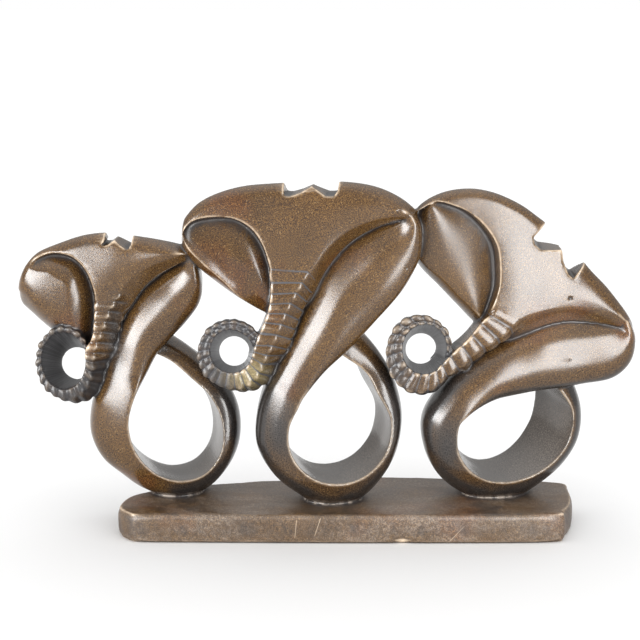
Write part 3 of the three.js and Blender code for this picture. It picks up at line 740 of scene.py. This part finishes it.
def carry(piece, guide, name):
    """Gives each point of the piece the guide's vector of that name at the guide's nearest surface, and
    the place of that surface."""
    tree = bpy.data.node_groups.new("carry", "GeometryNodeTree")
    tree.interface.new_socket("Geometry", in_out="INPUT", socket_type="NodeSocketGeometry")
    tree.interface.new_socket("Geometry", in_out="OUTPUT", socket_type="NodeSocketGeometry")
    new = tree.nodes.new
    connect = tree.links.new
    source = new("GeometryNodeObjectInfo")
    source.inputs["Object"].default_value = guide
    read = new("GeometryNodeInputNamedAttribute")
    read.data_type = "FLOAT_VECTOR"
    read.inputs["Name"].default_value = name
    geometry = new("NodeGroupInput").outputs[0]
    own_place = new("GeometryNodeInputPosition").outputs[0]
    for stored, value in ((name, read.outputs["Attribute"]), ("nearest", own_place)):
        sample = new("GeometryNodeSampleNearestSurface")
        sample.data_type = "FLOAT_VECTOR"
        connect(source.outputs["Geometry"], sample.inputs["Mesh"])
        connect(value, sample.inputs["Value"])
        store = new("GeometryNodeStoreNamedAttribute")
        store.data_type = "FLOAT_VECTOR"
        store.domain = "POINT"
        store.inputs["Name"].default_value = stored
        connect(geometry, store.inputs["Geometry"])
        connect(sample.outputs["Value"], store.inputs["Value"])
        geometry = store.outputs["Geometry"]
    connect(geometry, new("NodeGroupOutput").inputs[0])
    apply_modifier(piece, "NODES", node_group=tree)
    bpy.data.node_groups.remove(tree)


def taken(mesh, name):
    """The vectors of that name on the mesh's points, which are then removed from it."""
    values = np.empty(len(mesh.vertices) * 3, dtype=np.float32)
    mesh.attributes[name].data.foreach_get("vector", values)
    mesh.attributes.remove(mesh.attributes[name])
    return values.reshape(-1, 3).astype(float)


ON_TRUNK = (0.5, 1.6)             # how near to a trunk a point is all its own, and how far off it isn't

apply_modifier(carving, "REMESH", mode="VOXEL", voxel_size=STONE_GRID)
on_trunks = []
for guide in guides:
    carry(carving, guide, "trunk")
    off = np.linalg.norm(positions_of(carving.data) - taken(carving.data, "nearest") / MM, axis=1)
    on_trunks.append((1 - smoothstep(off, *ON_TRUNK), *taken(carving.data, "trunk").T[:2]))
    bpy.data.objects.remove(guide)
skin_mesh = carving.data
neighbours = neighbours_of(skin_mesh)
cut = positions_of(skin_mesh)
place = smoothed(cut, neighbours, EDGE_PASSES)
place[:, 2] = np.where(cut[:, 2] < 0.5, cut[:, 2], place[:, 2])


def reshape_to(place):
    """Moves the mesh's points to new places and gives its new normals."""
    skin_mesh.vertices.foreach_set("co", (place * MM).ravel())
    skin_mesh.update()
    return normals_of(skin_mesh)


def spot(x, z, wide, tall, turn=0.0):
    """exp(-(u / wide)^2 - (v / tall)^2) on the front, where u and v are measured from the spot at x, z
    along axes turned by an angle in degrees."""
    across = place[:, 0] - x
    up = place[:, 2] - z
    cos = np.cos(np.radians(turn))
    sin = np.sin(np.radians(turn))
    u = across * cos + up * sin
    v = up * cos - across * sin
    return np.exp(-((u / wide) ** 2) - (v / tall) ** 2) * smoothstep(-normal[:, 1], 0.1, 0.5)


normal = reshape_to(place)
chance = np.random.default_rng(11)

# The rings of the trunks and curls: every lump stands out by its own amount, and a groove along the
# middle of a curl's front parts its lumps into two rows. Each row of numbers is for the left, the centre
# and the right elephant, and a share is how far round the curl it is.
LUMP_HEIGHT = 0.5
GROOVE_WIDTH = 0.1                # share of the width of the curl's front
LINE_STRENGTH = (0.15, 1.0, 0.6)  # how dark the engraved lines between the rings are
CURL_DARKENS = ((0.0, 0.08), (0.16, 0.32), (0.1, 0.4))                  # from and to which share
CURL_DARKNESS = (1.0, 1.0, 0.7)
CURL_GROOVES = ((0.2, 0.2, 0.3), (0.6, 0.3, 0.5), (0.8, 0.2, 0.4))      # depth, from and to which share
HOLLOW_ENDS = (17, 20)            # how far from the mouth's middle the hollow of a curl ends
WALL_ENDS = (40, 46)              # and how far from the ridge's middle the inner wall of a loop does
ring = np.zeros(len(place))
engraved = np.zeros(len(place))
curled = np.zeros(len(place))
lumps = np.zeros(len(place))
coned = np.zeros(len(place))
bare = np.zeros(len(place))
for number, beast in enumerate((left, centre, right)):
    on, count, coil = on_trunks[number]
    ring = np.where(on > 0, count, ring)
    engraved = np.maximum(engraved, on * LINE_STRENGTH[number])
    curled = np.maximum(curled, on * smoothstep(coil, *CURL_DARKENS[number]) * CURL_DARKNESS[number])
    curl = beast["curl"]
    from_hole = np.stack([place[:, 0] - curl["mouth_x"], place[:, 2] - curl["mouth_z"]], axis=1)
    away = np.linalg.norm(from_hole, axis=1) + 1e-6
    facing = -(from_hole[:, 0] * normal[:, 0] + from_hole[:, 1] * normal[:, 2]) / away
    cone = smoothstep(facing, 0.25, 0.6) * falls(away, *HOLLOW_ENDS)
    coned = np.maximum(coned, cone)
    own = chance.uniform(-1, 0.7, int(count.max()) + 2)[count.astype(int)] * LUMP_HEIGHT
    swell = own * np.abs(np.sin(np.pi * count)) ** 0.8 * smoothstep(coil, 0.0, 0.1)
    depth, start, finish = CURL_GROOVES[number]
    past_mouth = np.maximum(away - curl["mouth"], 0)
    oval = np.hypot((place[:, 0] - curl["x"]) / curl["outer"],
                    (place[:, 2] - curl["z"]) / (curl["outer"] * curl["tall"]))
    to_rim = np.maximum(1 - oval, 0) * curl["outer"]
    share = past_mouth / (past_mouth + to_rim + 1e-6)
    groove = depth * np.exp(-(((share - 0.5) / GROOVE_WIDTH) ** 2)) * smoothstep(coil, start, finish)
    front = smoothstep(-normal[:, 1], 0.2, 0.6)
    lumps += on * (1 - cone) * (swell - groove * front)
    loop = beast["ridge"]
    to_middle = np.stack([loop["x"] - place[:, 0], loop["z"] - place[:, 2]], axis=1)
    away = np.linalg.norm(to_middle, axis=1) + 1e-6
    facing = (to_middle[:, 0] * normal[:, 0] + to_middle[:, 1] * normal[:, 2]) / away
    bare = np.maximum(bare, smoothstep(facing, 0.55, 0.9) * falls(away, *WALL_ENDS))
give(skin_mesh, "ring", ring)
give(skin_mesh, "engraved", engraved)
give(skin_mesh, "curled", curled)
give(skin_mesh, "coned", coned)
give(skin_mesh, "bare", bare)
place += normal * lumps[:, None]

# The slab: its ends are worn rounder than the rest, its sides are uneven and its lower edge is chipped.
# The heads and ears have three small pits. A spot is given by its x and z, and its width and height.
SOFT_PASSES = 48
RIGHT_END = (120, 150)            # along x, from where the wear starts to where it is full
LEFT_END = (125, 140)             # the same along -x
WAVINESS = (9, 14, 23, 37)        # lengths of the waves along the slab's sides
CHIP = (36.6, 1.8, 4.5, 1.7)
CHIP_DEPTH = 1.4
PITS = (                          # and the share of the depth
    (143.8, 156.4, 1.0, 1.0, 1.0),
    (145.3, 115.3, 0.7, 0.7, 0.5),
    (38.1, 177.6, 0.7, 0.7, 0.5),
)
PIT_DEPTH = 0.8
soft = smoothed(place, neighbours, SOFT_PASSES)
at_end = np.maximum(smoothstep(place[:, 0], *RIGHT_END), smoothstep(-place[:, 0], *LEFT_END))
at_end *= falls(place[:, 2], 17.5, 19)
rounder = mix(place, soft, at_end[:, None])
rounder[:, 2] = np.where(cut[:, 2] < 0.5, place[:, 2], rounder[:, 2])
place = rounder
normal = reshape_to(place)
of_slab = falls(place[:, 2], 18, 19.5) * smoothstep(normal[:, 2], -0.5, -0.2)
uneven = np.zeros(len(place))
for length in WAVINESS:
    uneven += 0.25 * np.sin(2 * np.pi * (place[:, 0] / length + chance.uniform()) + place[:, 2] / 6)
low_edge = np.exp(-((place[:, 2] / 3.5) ** 2)) * of_slab
place[:, 2] += low_edge * (0.35 + 0.35 * uneven)
inward = of_slab * (0.25 + 0.2 * uneven) * smoothstep(place[:, 2], 0.5, 3)
chip = spot(*CHIP)
pits = np.zeros(len(place))
for *where_pit, share in PITS:
    pits += share * spot(*where_pit)
place -= normal * (inward + CHIP_DEPTH * chip + PIT_DEPTH * pits)[:, None]
normal = reshape_to(place)

# How far each point stands out of its surroundings, seen closely and more widely, in millimetres. Edges
# that stand out are worn pale and also painted pale as highlights, hollows and creases are painted dark
# as shade with some dark patina, and there is one dark stain on the left head.
STAIN = (-165, 191.5, 2.2, 1.1, 35)
near = np.einsum("ij,ij->i", place - smoothed(place, neighbours, 6), normal)
wide = np.einsum("ij,ij->i", place - soft, normal)
near = smoothed(near, neighbours, 1)
stain = spot(*STAIN)
# edges that stand out are painted pale: worn stone, and also painted highlights along the ridges and on
# the lumps' tops
worn_and_highlit = smoothstep(near, 0.12, 0.34) * (1 - np.minimum(1, 4 * pits))
worn_and_highlit *= 1 - 0.5 * smoothstep(place[:, 2], 21, 24) * falls(place[:, 2], 90, 110)
give(skin_mesh, "worn_and_highlit", np.maximum(worn_and_highlit, smoothstep(chip, 0.3, 0.6)))
# painted shade: creases and broad hollows are coloured darker where light reaches less, with some dark
# patina; the pits and the stain are added next
painted_shade_and_stain = np.maximum(smoothstep(-near, 0.05, 0.3), 0.95 * smoothstep(-wide, 0.06, 0.6))
give(skin_mesh, "painted_shade_and_stain", np.maximum(painted_shade_and_stain, np.minimum(1, 2 * pits + stain)))

# Old dark polish and painted shade on the sides of the bodies and in patches on the loops, pale dust in
# the crease where they stand on the slab, and dark smudges round their feet. The right elephant's left
# ear has a duller patch, and the centre one's trunk a tan one where it turns into the curl.
SMOKY_SHADED_SPOTS = (                   # x, z and width
    (-84, 72, 15), (-42, 72, 15), (28, 75, 15), (66, 58, 15), (132, 68, 15), (-149, 126, 6),
)
SMOKY_SHADED_HEIGHT = 30
DULL_PATCH = (74, 184, 20, 40, -10)
TAN_PATCH = (-62, 110, 11, 9)
FEET = (-110, -9, 97)             # x of the middle of each foot
SMUDGE_WIDTH = 24
# painted shade with old dark polish: surfaces of the bodies that face sideways or downwards, and patches
# on the loops, are darkened
sideways = falls(np.abs(normal[:, 1]), 0.78, 0.98) * smoothstep(place[:, 0], -122, -112)
low_body = smoothstep(place[:, 2], 19, 24) * falls(place[:, 2], 95, 125)
smoked_and_shaded = sideways * low_body
for x, z, width in SMOKY_SHADED_SPOTS:
    smoked_and_shaded = np.maximum(smoked_and_shaded, spot(x, z, width, SMOKY_SHADED_HEIGHT))
give(skin_mesh, "smoked_and_shaded", smoked_and_shaded)
give(skin_mesh, "matte", spot(*DULL_PATCH))
give(skin_mesh, "tanned", np.minimum(1, 1.4 * spot(*TAN_PATCH)) * (1 - coned))
crease = np.exp(-(((place[:, 2] - 20) / 1.1) ** 2)) * smoothstep(-near, 0.03, 0.2)
give(skin_mesh, "dusty", crease)
smudge = np.zeros(len(place))
for foot in FEET:
    smudge += np.exp(-(((place[:, 0] - foot) / SMUDGE_WIDTH) ** 2))
smudge *= smoothstep(normal[:, 2], 0.6, 0.9) * falls(place[:, 2], 19.6, 21)
give(skin_mesh, "smudged", smudge)

# The hand-carved unevenness: broad, shallow waves in directions of their own, in millimetres
WAVES = 7
WAVE_HEIGHT = 0.07
slips = np.zeros(len(place))
for _ in range(WAVES):
    direction = chance.normal(size=3)
    direction /= np.linalg.norm(direction)
    length = chance.uniform(22, 48)
    slips += np.sin(place @ direction * 2 * np.pi / length + chance.uniform(0, 2 * np.pi)) * WAVE_HEIGHT
place += normal * (slips * smoothstep(place[:, 2], 3, 8))[:, None]
reshape_to(place)

apply_modifier(carving, "DECIMATE", ratio=SKIN_TRIANGLES / (2 * len(skin_mesh.polygons)))
carving.data.shade_smooth()

# The stone: a fine dark, brown and golden speckle under a polish, painted darker as shade in the hollows
# and on the bodies' sides, charcoal in the curls, grey on the walls of the loops and worn pale along the
# edges, where the pale also stands for painted highlights
soapstone = bpy.data.materials.new("polished_soapstone")
soapstone.use_nodes = True
nodes = soapstone.node_tree.nodes
links = soapstone.node_tree.links
stone = nodes["Principled BSDF"]
stone.inputs["IOR"].default_value = 1.58
where = nodes.new("ShaderNodeTexCoord").outputs["Object"]


def noise(scale, detail, roughness=0.55, stretch=None):
    """Soft noise on the stone's own coordinates, if need be squeezed along some of them."""
    made = nodes.new("ShaderNodeTexNoise")
    made.inputs["Scale"].default_value = scale
    made.inputs["Detail"].default_value = detail
    made.inputs["Roughness"].default_value = roughness
    source = where
    if stretch:
        squeeze = nodes.new("ShaderNodeMapping")
        squeeze.inputs["Scale"].default_value = stretch
        links.new(where, squeeze.inputs["Vector"])
        source = squeeze.outputs["Vector"]
    links.new(source, made.inputs["Vector"])
    return made.outputs["Fac"]


def ramp(value, *stops):
    """Colours at stops along the value, mixed in proportion between one stop and the next."""
    made = nodes.new("ShaderNodeValToRGB")
    elements = made.color_ramp.elements
    while len(elements) < len(stops):
        elements.new(0.5)
    for element, (position, colour) in zip(elements, stops):
        element.position = position
        element.color = (*colour, 1)
    links.new(value, made.inputs["Fac"])
    return made.outputs["Color"]


def feed(socket, value):
    """Links a socket to another, or sets a plain value on it."""
    if isinstance(value, bpy.types.NodeSocket):
        links.new(value, socket)
    else:
        socket.default_value = value


def ranged(value, low, high, to_low=0.0, to_high=1.0):
    """Value taken smoothly from the range low to high to another one."""
    made = nodes.new("ShaderNodeMapRange")
    made.interpolation_type = "SMOOTHSTEP"
    feed(made.inputs["Value"], value)
    for name, given in (("From Min", low), ("From Max", high), ("To Min", to_low), ("To Max", to_high)):
        feed(made.inputs[name], given)
    return made.outputs["Result"]


def calculated(operation, first, second):
    """Result of a sum on two values."""
    made = nodes.new("ShaderNodeMath")
    made.operation = operation
    feed(made.inputs[0], first)
    feed(made.inputs[1], second)
    return made.outputs["Value"]


def attribute(name):
    """The number of that name kept on the stone's points."""
    made = nodes.new("ShaderNodeAttribute")
    made.attribute_name = name
    return made.outputs["Fac"]


def blend(amount, first, second, kind="MIX"):
    """The first colour where the amount is 0, and the second, or their product, where it is 1."""
    made = nodes.new("ShaderNodeMix")
    made.data_type = "RGBA"
    made.blend_type = kind
    for socket, value in (("Factor", amount), ("A", first), ("B", second)):
        wanted = "VALUE" if socket == "Factor" else "RGBA"
        slot = next(s for s in made.inputs if s.name == socket and s.type == wanted)
        feed(slot, (*value, 1) if isinstance(value, tuple) else value)
    return next(s for s in made.outputs if s.type == "RGBA")


DARK_GRAIN = (0.021, 0.010, 0.0035)
BROWN_GRAIN = (0.046, 0.0225, 0.007)
GOLD_GRAIN = (0.115, 0.063, 0.019)
FLECK = (0.24, 0.155, 0.070)
# also the colour of the painted shade in the hollows and creases
CHARCOAL = (0.012, 0.011, 0.012)
# dark of the old polish and of the painted shade on the bodies' sides
SMOKE_AND_SHADE = (0.020, 0.017, 0.0155)
GREY_WALL = (0.060, 0.050, 0.042)
LINE_GREY = (0.034, 0.033, 0.037)
# pale of worn edges and scratches, also used as painted highlights along the ridges
PALE_WEAR_AND_HIGHLIGHT = (0.50, 0.39, 0.28)
DUST = (0.24, 0.20, 0.165)
TAN = (0.150, 0.118, 0.056)
REDDISH = (1.35, 0.86, 0.70)      # what the stone's colour is multiplied by in its reddish patches
ROUGH_POLISHED = 0.22
ROUGH_DULL = 0.40
LESS_RUBBED = 0.2                 # how much rougher the slab and the duller patch are

grain = noise(1650, 2, 0.6)
speckle = ramp(grain, (0.36, DARK_GRAIN), (0.5, BROWN_GRAIN), (0.66, GOLD_GRAIN))
mottle = ramp(noise(42, 4), (0.3, (0.78, 0.76, 0.76)), (0.7, (1.2, 1.18, 1.1)))
colour = blend(1.0, speckle, mottle, "MULTIPLY")
reddish_patches = ranged(noise(19, 2), 0.56, 0.7, 0.0, 0.45)
colour = blend(reddish_patches, colour, blend(1.0, colour, REDDISH, "MULTIPLY"))
colour = blend(ranged(noise(1000, 1), 0.66, 0.74, 0.0, 0.55), colour, FLECK)
speck_light = ranged(grain, 0.4, 0.7, 0.6, 1.7)
dark_stone = blend(1.0, CHARCOAL, speck_light, "MULTIPLY")
smoky_shaded_stone = blend(1.0, SMOKE_AND_SHADE, speck_light, "MULTIPLY")
wall_stone = blend(1.0, GREY_WALL, speck_light, "MULTIPLY")

# The old polish with painted shade, the walls and the curls, with tool marks that run outwards in the
# curls' hollows
smoky_shaded_patches = ranged(noise(28, 3), 0.34, 0.5, 0.65, 1.0)
# painted shade with old polish on the bodies' sides and the loops
colour = blend(calculated("MULTIPLY", attribute("smoked_and_shaded"), smoky_shaded_patches), colour, smoky_shaded_stone)
colour = blend(attribute("bare"), colour, wall_stone)
patchy = ranged(noise(160, 3), 0.35, 0.6, 0.75, 1.0)
colour = blend(calculated("MULTIPLY", attribute("curled"), patchy), colour, dark_stone)
tan_stone = blend(1.0, TAN, speck_light, "MULTIPLY")
colour = blend(attribute("tanned"), colour, tan_stone)
ring_count = attribute("ring")
radial = nodes.new("ShaderNodeTexNoise")
radial.noise_dimensions = "1D"
radial.inputs["Scale"].default_value = 7.0
radial.inputs["Detail"].default_value = 3.0
links.new(ring_count, radial.inputs["W"])
tooled = ramp(radial.outputs["Fac"], (0.4, (0.005, 0.005, 0.006)), (0.66, (0.05, 0.048, 0.05)))
colour = blend(attribute("coned"), colour, tooled)

# The slab is rubbed less: it is dusty in patches and scratched
axes = nodes.new("ShaderNodeSeparateXYZ")
links.new(where, axes.inputs["Vector"])
slab_share = ranged(axes.outputs["Z"], 0.0188, 0.0196, 1.0, 0.0)
rubbing = ranged(noise(30, 5, 0.65, (0.6, 1.6, 1.6)), 0.38, 0.62, 0.14, 0.44)
scuffed = ranged(noise(420, 4, 0.7), 0.42, 0.62, 0.35, 1.0)
dusted = calculated("MULTIPLY", slab_share, calculated("MULTIPLY", rubbing, scuffed))
dust_stone = blend(1.0, DUST, ranged(grain, 0.36, 0.66, 0.55, 1.5), "MULTIPLY")
colour = blend(dusted, colour, dust_stone)
SCRATCHES = (                     # on its front, in metres: x and height of the upper end, and the slant
    (-0.0317, 0.0159, 0.095), (-0.0163, 0.0172, 0.314), (0.0764, 0.0119, 0.94),
)
at_front = ranged(axes.outputs["Y"], -0.036, -0.034, 1.0, 0.0)
for x, z, slant in SCRATCHES:
    below_top = calculated("SUBTRACT", axes.outputs["Z"], z)
    middle = calculated("ADD", calculated("MULTIPLY", below_top, slant), x)
    off = calculated("ABSOLUTE", calculated("SUBTRACT", axes.outputs["X"], middle), 0.0)
    from_lower_end = ranged(below_top, -0.0125, -0.0115)
    within = calculated("MULTIPLY", from_lower_end, ranged(below_top, -0.0005, 0.0005, 1.0, 0.0))
    hairline = ranged(off, 0.00012, 0.0003, 0.5, 0.0)
    scratch = calculated("MULTIPLY", calculated("MULTIPLY", hairline, within), at_front)
    colour = blend(scratch, colour, PALE_WEAR_AND_HIGHLIGHT)
smudged = calculated("MULTIPLY", attribute("smudged"), ranged(noise(70, 4), 0.42, 0.6, 0.0, 0.6))
colour = blend(smudged, colour, dark_stone)

# Painted shade in the hollows and creases, with some dark patina, and the engraved lines, then the pale
# edges, worn and painted as highlights, and the dust
hollow = attribute("painted_shade_and_stain")
# painted shade: charcoal over the creases and hollows, and the dark of the pits and the stain
colour = blend(calculated("MULTIPLY", hollow, 0.9), colour, CHARCOAL)
beside_cut = calculated("PINGPONG", ring_count, 0.5)
line = calculated("MULTIPLY", ranged(beside_cut, 0.05, 0.11, 1.0, 0.0), attribute("engraved"))
colour = blend(line, colour, LINE_GREY)
# painted highlights and wear: pale cream along the standing edges
rubbed_and_highlit = calculated("MULTIPLY", attribute("worn_and_highlit"), ranged(noise(300, 2), 0.40, 0.60, 0.65, 0.95))
rubbed_and_highlit = calculated("MULTIPLY", rubbed_and_highlit, ranged(attribute("curled"), 0.0, 1.0, 1.0, 0.15))
colour = blend(rubbed_and_highlit, colour, PALE_WEAR_AND_HIGHLIGHT)
dust_line = calculated("MULTIPLY", attribute("dusty"), ranged(noise(180, 3), 0.45, 0.6, 0.0, 0.9))
colour = blend(dust_line, colour, DUST)
links.new(colour, stone.inputs["Base Color"])

# The polish, and a slight grain in it
dull = calculated("MAXIMUM", calculated("MAXIMUM", attribute("curled"), hollow), line)
rough = ranged(dull, 0.0, 1.0, ROUGH_POLISHED, ROUGH_DULL)
unpolished = calculated("MAXIMUM", slab_share, attribute("matte"))
rough = calculated("ADD", rough, calculated("MULTIPLY", unpolished, LESS_RUBBED))
links.new(rough, stone.inputs["Roughness"])
bump = nodes.new("ShaderNodeBump")
bump.inputs["Distance"].default_value = 0.00012
bump.inputs["Strength"].default_value = 0.35
height = calculated("ADD", noise(700, 4, 0.65), calculated("MULTIPLY", line, -1.5))
links.new(height, bump.inputs["Height"])
links.new(bump.outputs["Normal"], stone.inputs["Normal"])
carving.data.materials.clear()
carving.data.materials.append(soapstone)
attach(carving, "root")
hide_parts("elephant_group")


# The table, the light and the camera
# A pale table under a bright ceiling, and two soft lamps that stand on the table in front of the
# carving, one far round to its left and a smaller one to its right. Both are outside the picture.

FLOOR_PALE = 0.92
REACH = 12.0
floor_mesh = bpy.data.meshes.new("pale_table")
corners = [(-REACH, -REACH, 0), (REACH, -REACH, 0), (REACH, REACH, 0), (-REACH, REACH, 0)]
floor_mesh.from_pydata(corners, [], [(0, 1, 2, 3)])
floor = bpy.data.objects.new("pale_table", floor_mesh)
bpy.context.scene.collection.objects.link(floor)
paper = bpy.data.materials.new("pale_table")
paper.use_nodes = True
matt = paper.node_tree.nodes["Principled BSDF"]
matt.inputs["Base Color"].default_value = (FLOOR_PALE, FLOOR_PALE, FLOOR_PALE, 1)
matt.inputs["Roughness"].default_value = 0.9
matt.inputs["Specular IOR Level"].default_value = 0.0
floor_mesh.materials.append(paper)

# The room is dim at eye level and grows brighter towards the ceiling, with the square of the height.
# The camera sees a plain white wall behind the table.
WALL_LIGHT = 0.48
CEILING_LIGHT = 1.45
room = bpy.data.worlds.new("white_room")
room.use_nodes = True
sky = room.node_tree.nodes
wire = room.node_tree.links.new
upward = sky.new("ShaderNodeSeparateXYZ")
wire(sky.new("ShaderNodeTexCoord").outputs["Generated"], upward.inputs["Vector"])
height = sky.new("ShaderNodeMath")
height.operation = "MULTIPLY"
wire(upward.outputs["Z"], height.inputs[0])
wire(upward.outputs["Z"], height.inputs[1])
strength = sky.new("ShaderNodeMath")
strength.operation = "MULTIPLY_ADD"
wire(height.outputs[0], strength.inputs[0])
strength.inputs[1].default_value = CEILING_LIGHT
strength.inputs[2].default_value = WALL_LIGHT
glow = sky["Background"]
wire(strength.outputs[0], glow.inputs["Strength"])
glow.inputs["Color"].default_value = (1.0, 1.0, 1.0, 1)
wall = sky.new("ShaderNodeBackground")
wall.inputs["Color"].default_value = (1.0, 1.0, 1.0, 1)
seen = sky.new("ShaderNodeMixShader")
wire(sky.new("ShaderNodeLightPath").outputs["Is Camera Ray"], seen.inputs["Fac"])
wire(glow.outputs[0], seen.inputs[1])
wire(wall.outputs[0], seen.inputs[2])
wire(seen.outputs[0], sky["World Output"].inputs["Surface"])
bpy.context.scene.world = room
bpy.context.scene.view_settings.view_transform = "Standard"

LIT = (0.0, 0.0)                  # x and y of what the lamps face
LAMPS = {                         # name: x, y and z of the middle, width, height, roll in degrees, watts
    "lamp_left": (-0.62, -0.56, 0.25, 0.72, 0.28, 17, 12.0),
    "lamp_right": (0.205, -0.32, 0.17, 0.135, 0.33, 0, 1.85),
}
only_stone = bpy.data.collections.new("lit_by_lamps")       # the lamps are shaded from the table
only_stone.objects.link(carving)
for name, (x, y, middle, wide, tall, roll, watts) in LAMPS.items():
    light = bpy.data.lights.new(name, "AREA")
    light.shape = "RECTANGLE"
    light.size = wide
    light.size_y = tall
    light.energy = watts
    lamp = bpy.data.objects.new(name, light)
    lamp.location = (x, y, middle)
    lamp.rotation_euler = (np.pi / 2, np.radians(roll), np.arctan2(x - LIT[0], LIT[1] - y))
    lamp.visible_camera = False
    lamp.light_linking.receiver_collection = only_stone
    bpy.context.scene.collection.objects.link(lamp)

CAMERA_AWAY = 1.1                 # from the camera to the middle of the picture, in metres
CAMERA_LIFT = np.radians(12)
LOOKS_AT = (-0.0166, 0.0, 0.139)
SENSOR = 36.0                     # width in millimetres
LENS = 94.97
camera_data = bpy.data.cameras.new("camera")
camera_data.sensor_width = SENSOR
camera_data.lens = LENS
camera = bpy.data.objects.new("camera", camera_data)
camera.location = (LOOKS_AT[0], -CAMERA_AWAY * np.cos(CAMERA_LIFT),
                   LOOKS_AT[2] + CAMERA_AWAY * np.sin(CAMERA_LIFT))
camera.rotation_euler = (np.pi / 2 - CAMERA_LIFT, 0, 0)
bpy.context.scene.collection.objects.link(camera)
bpy.context.scene.camera = camera
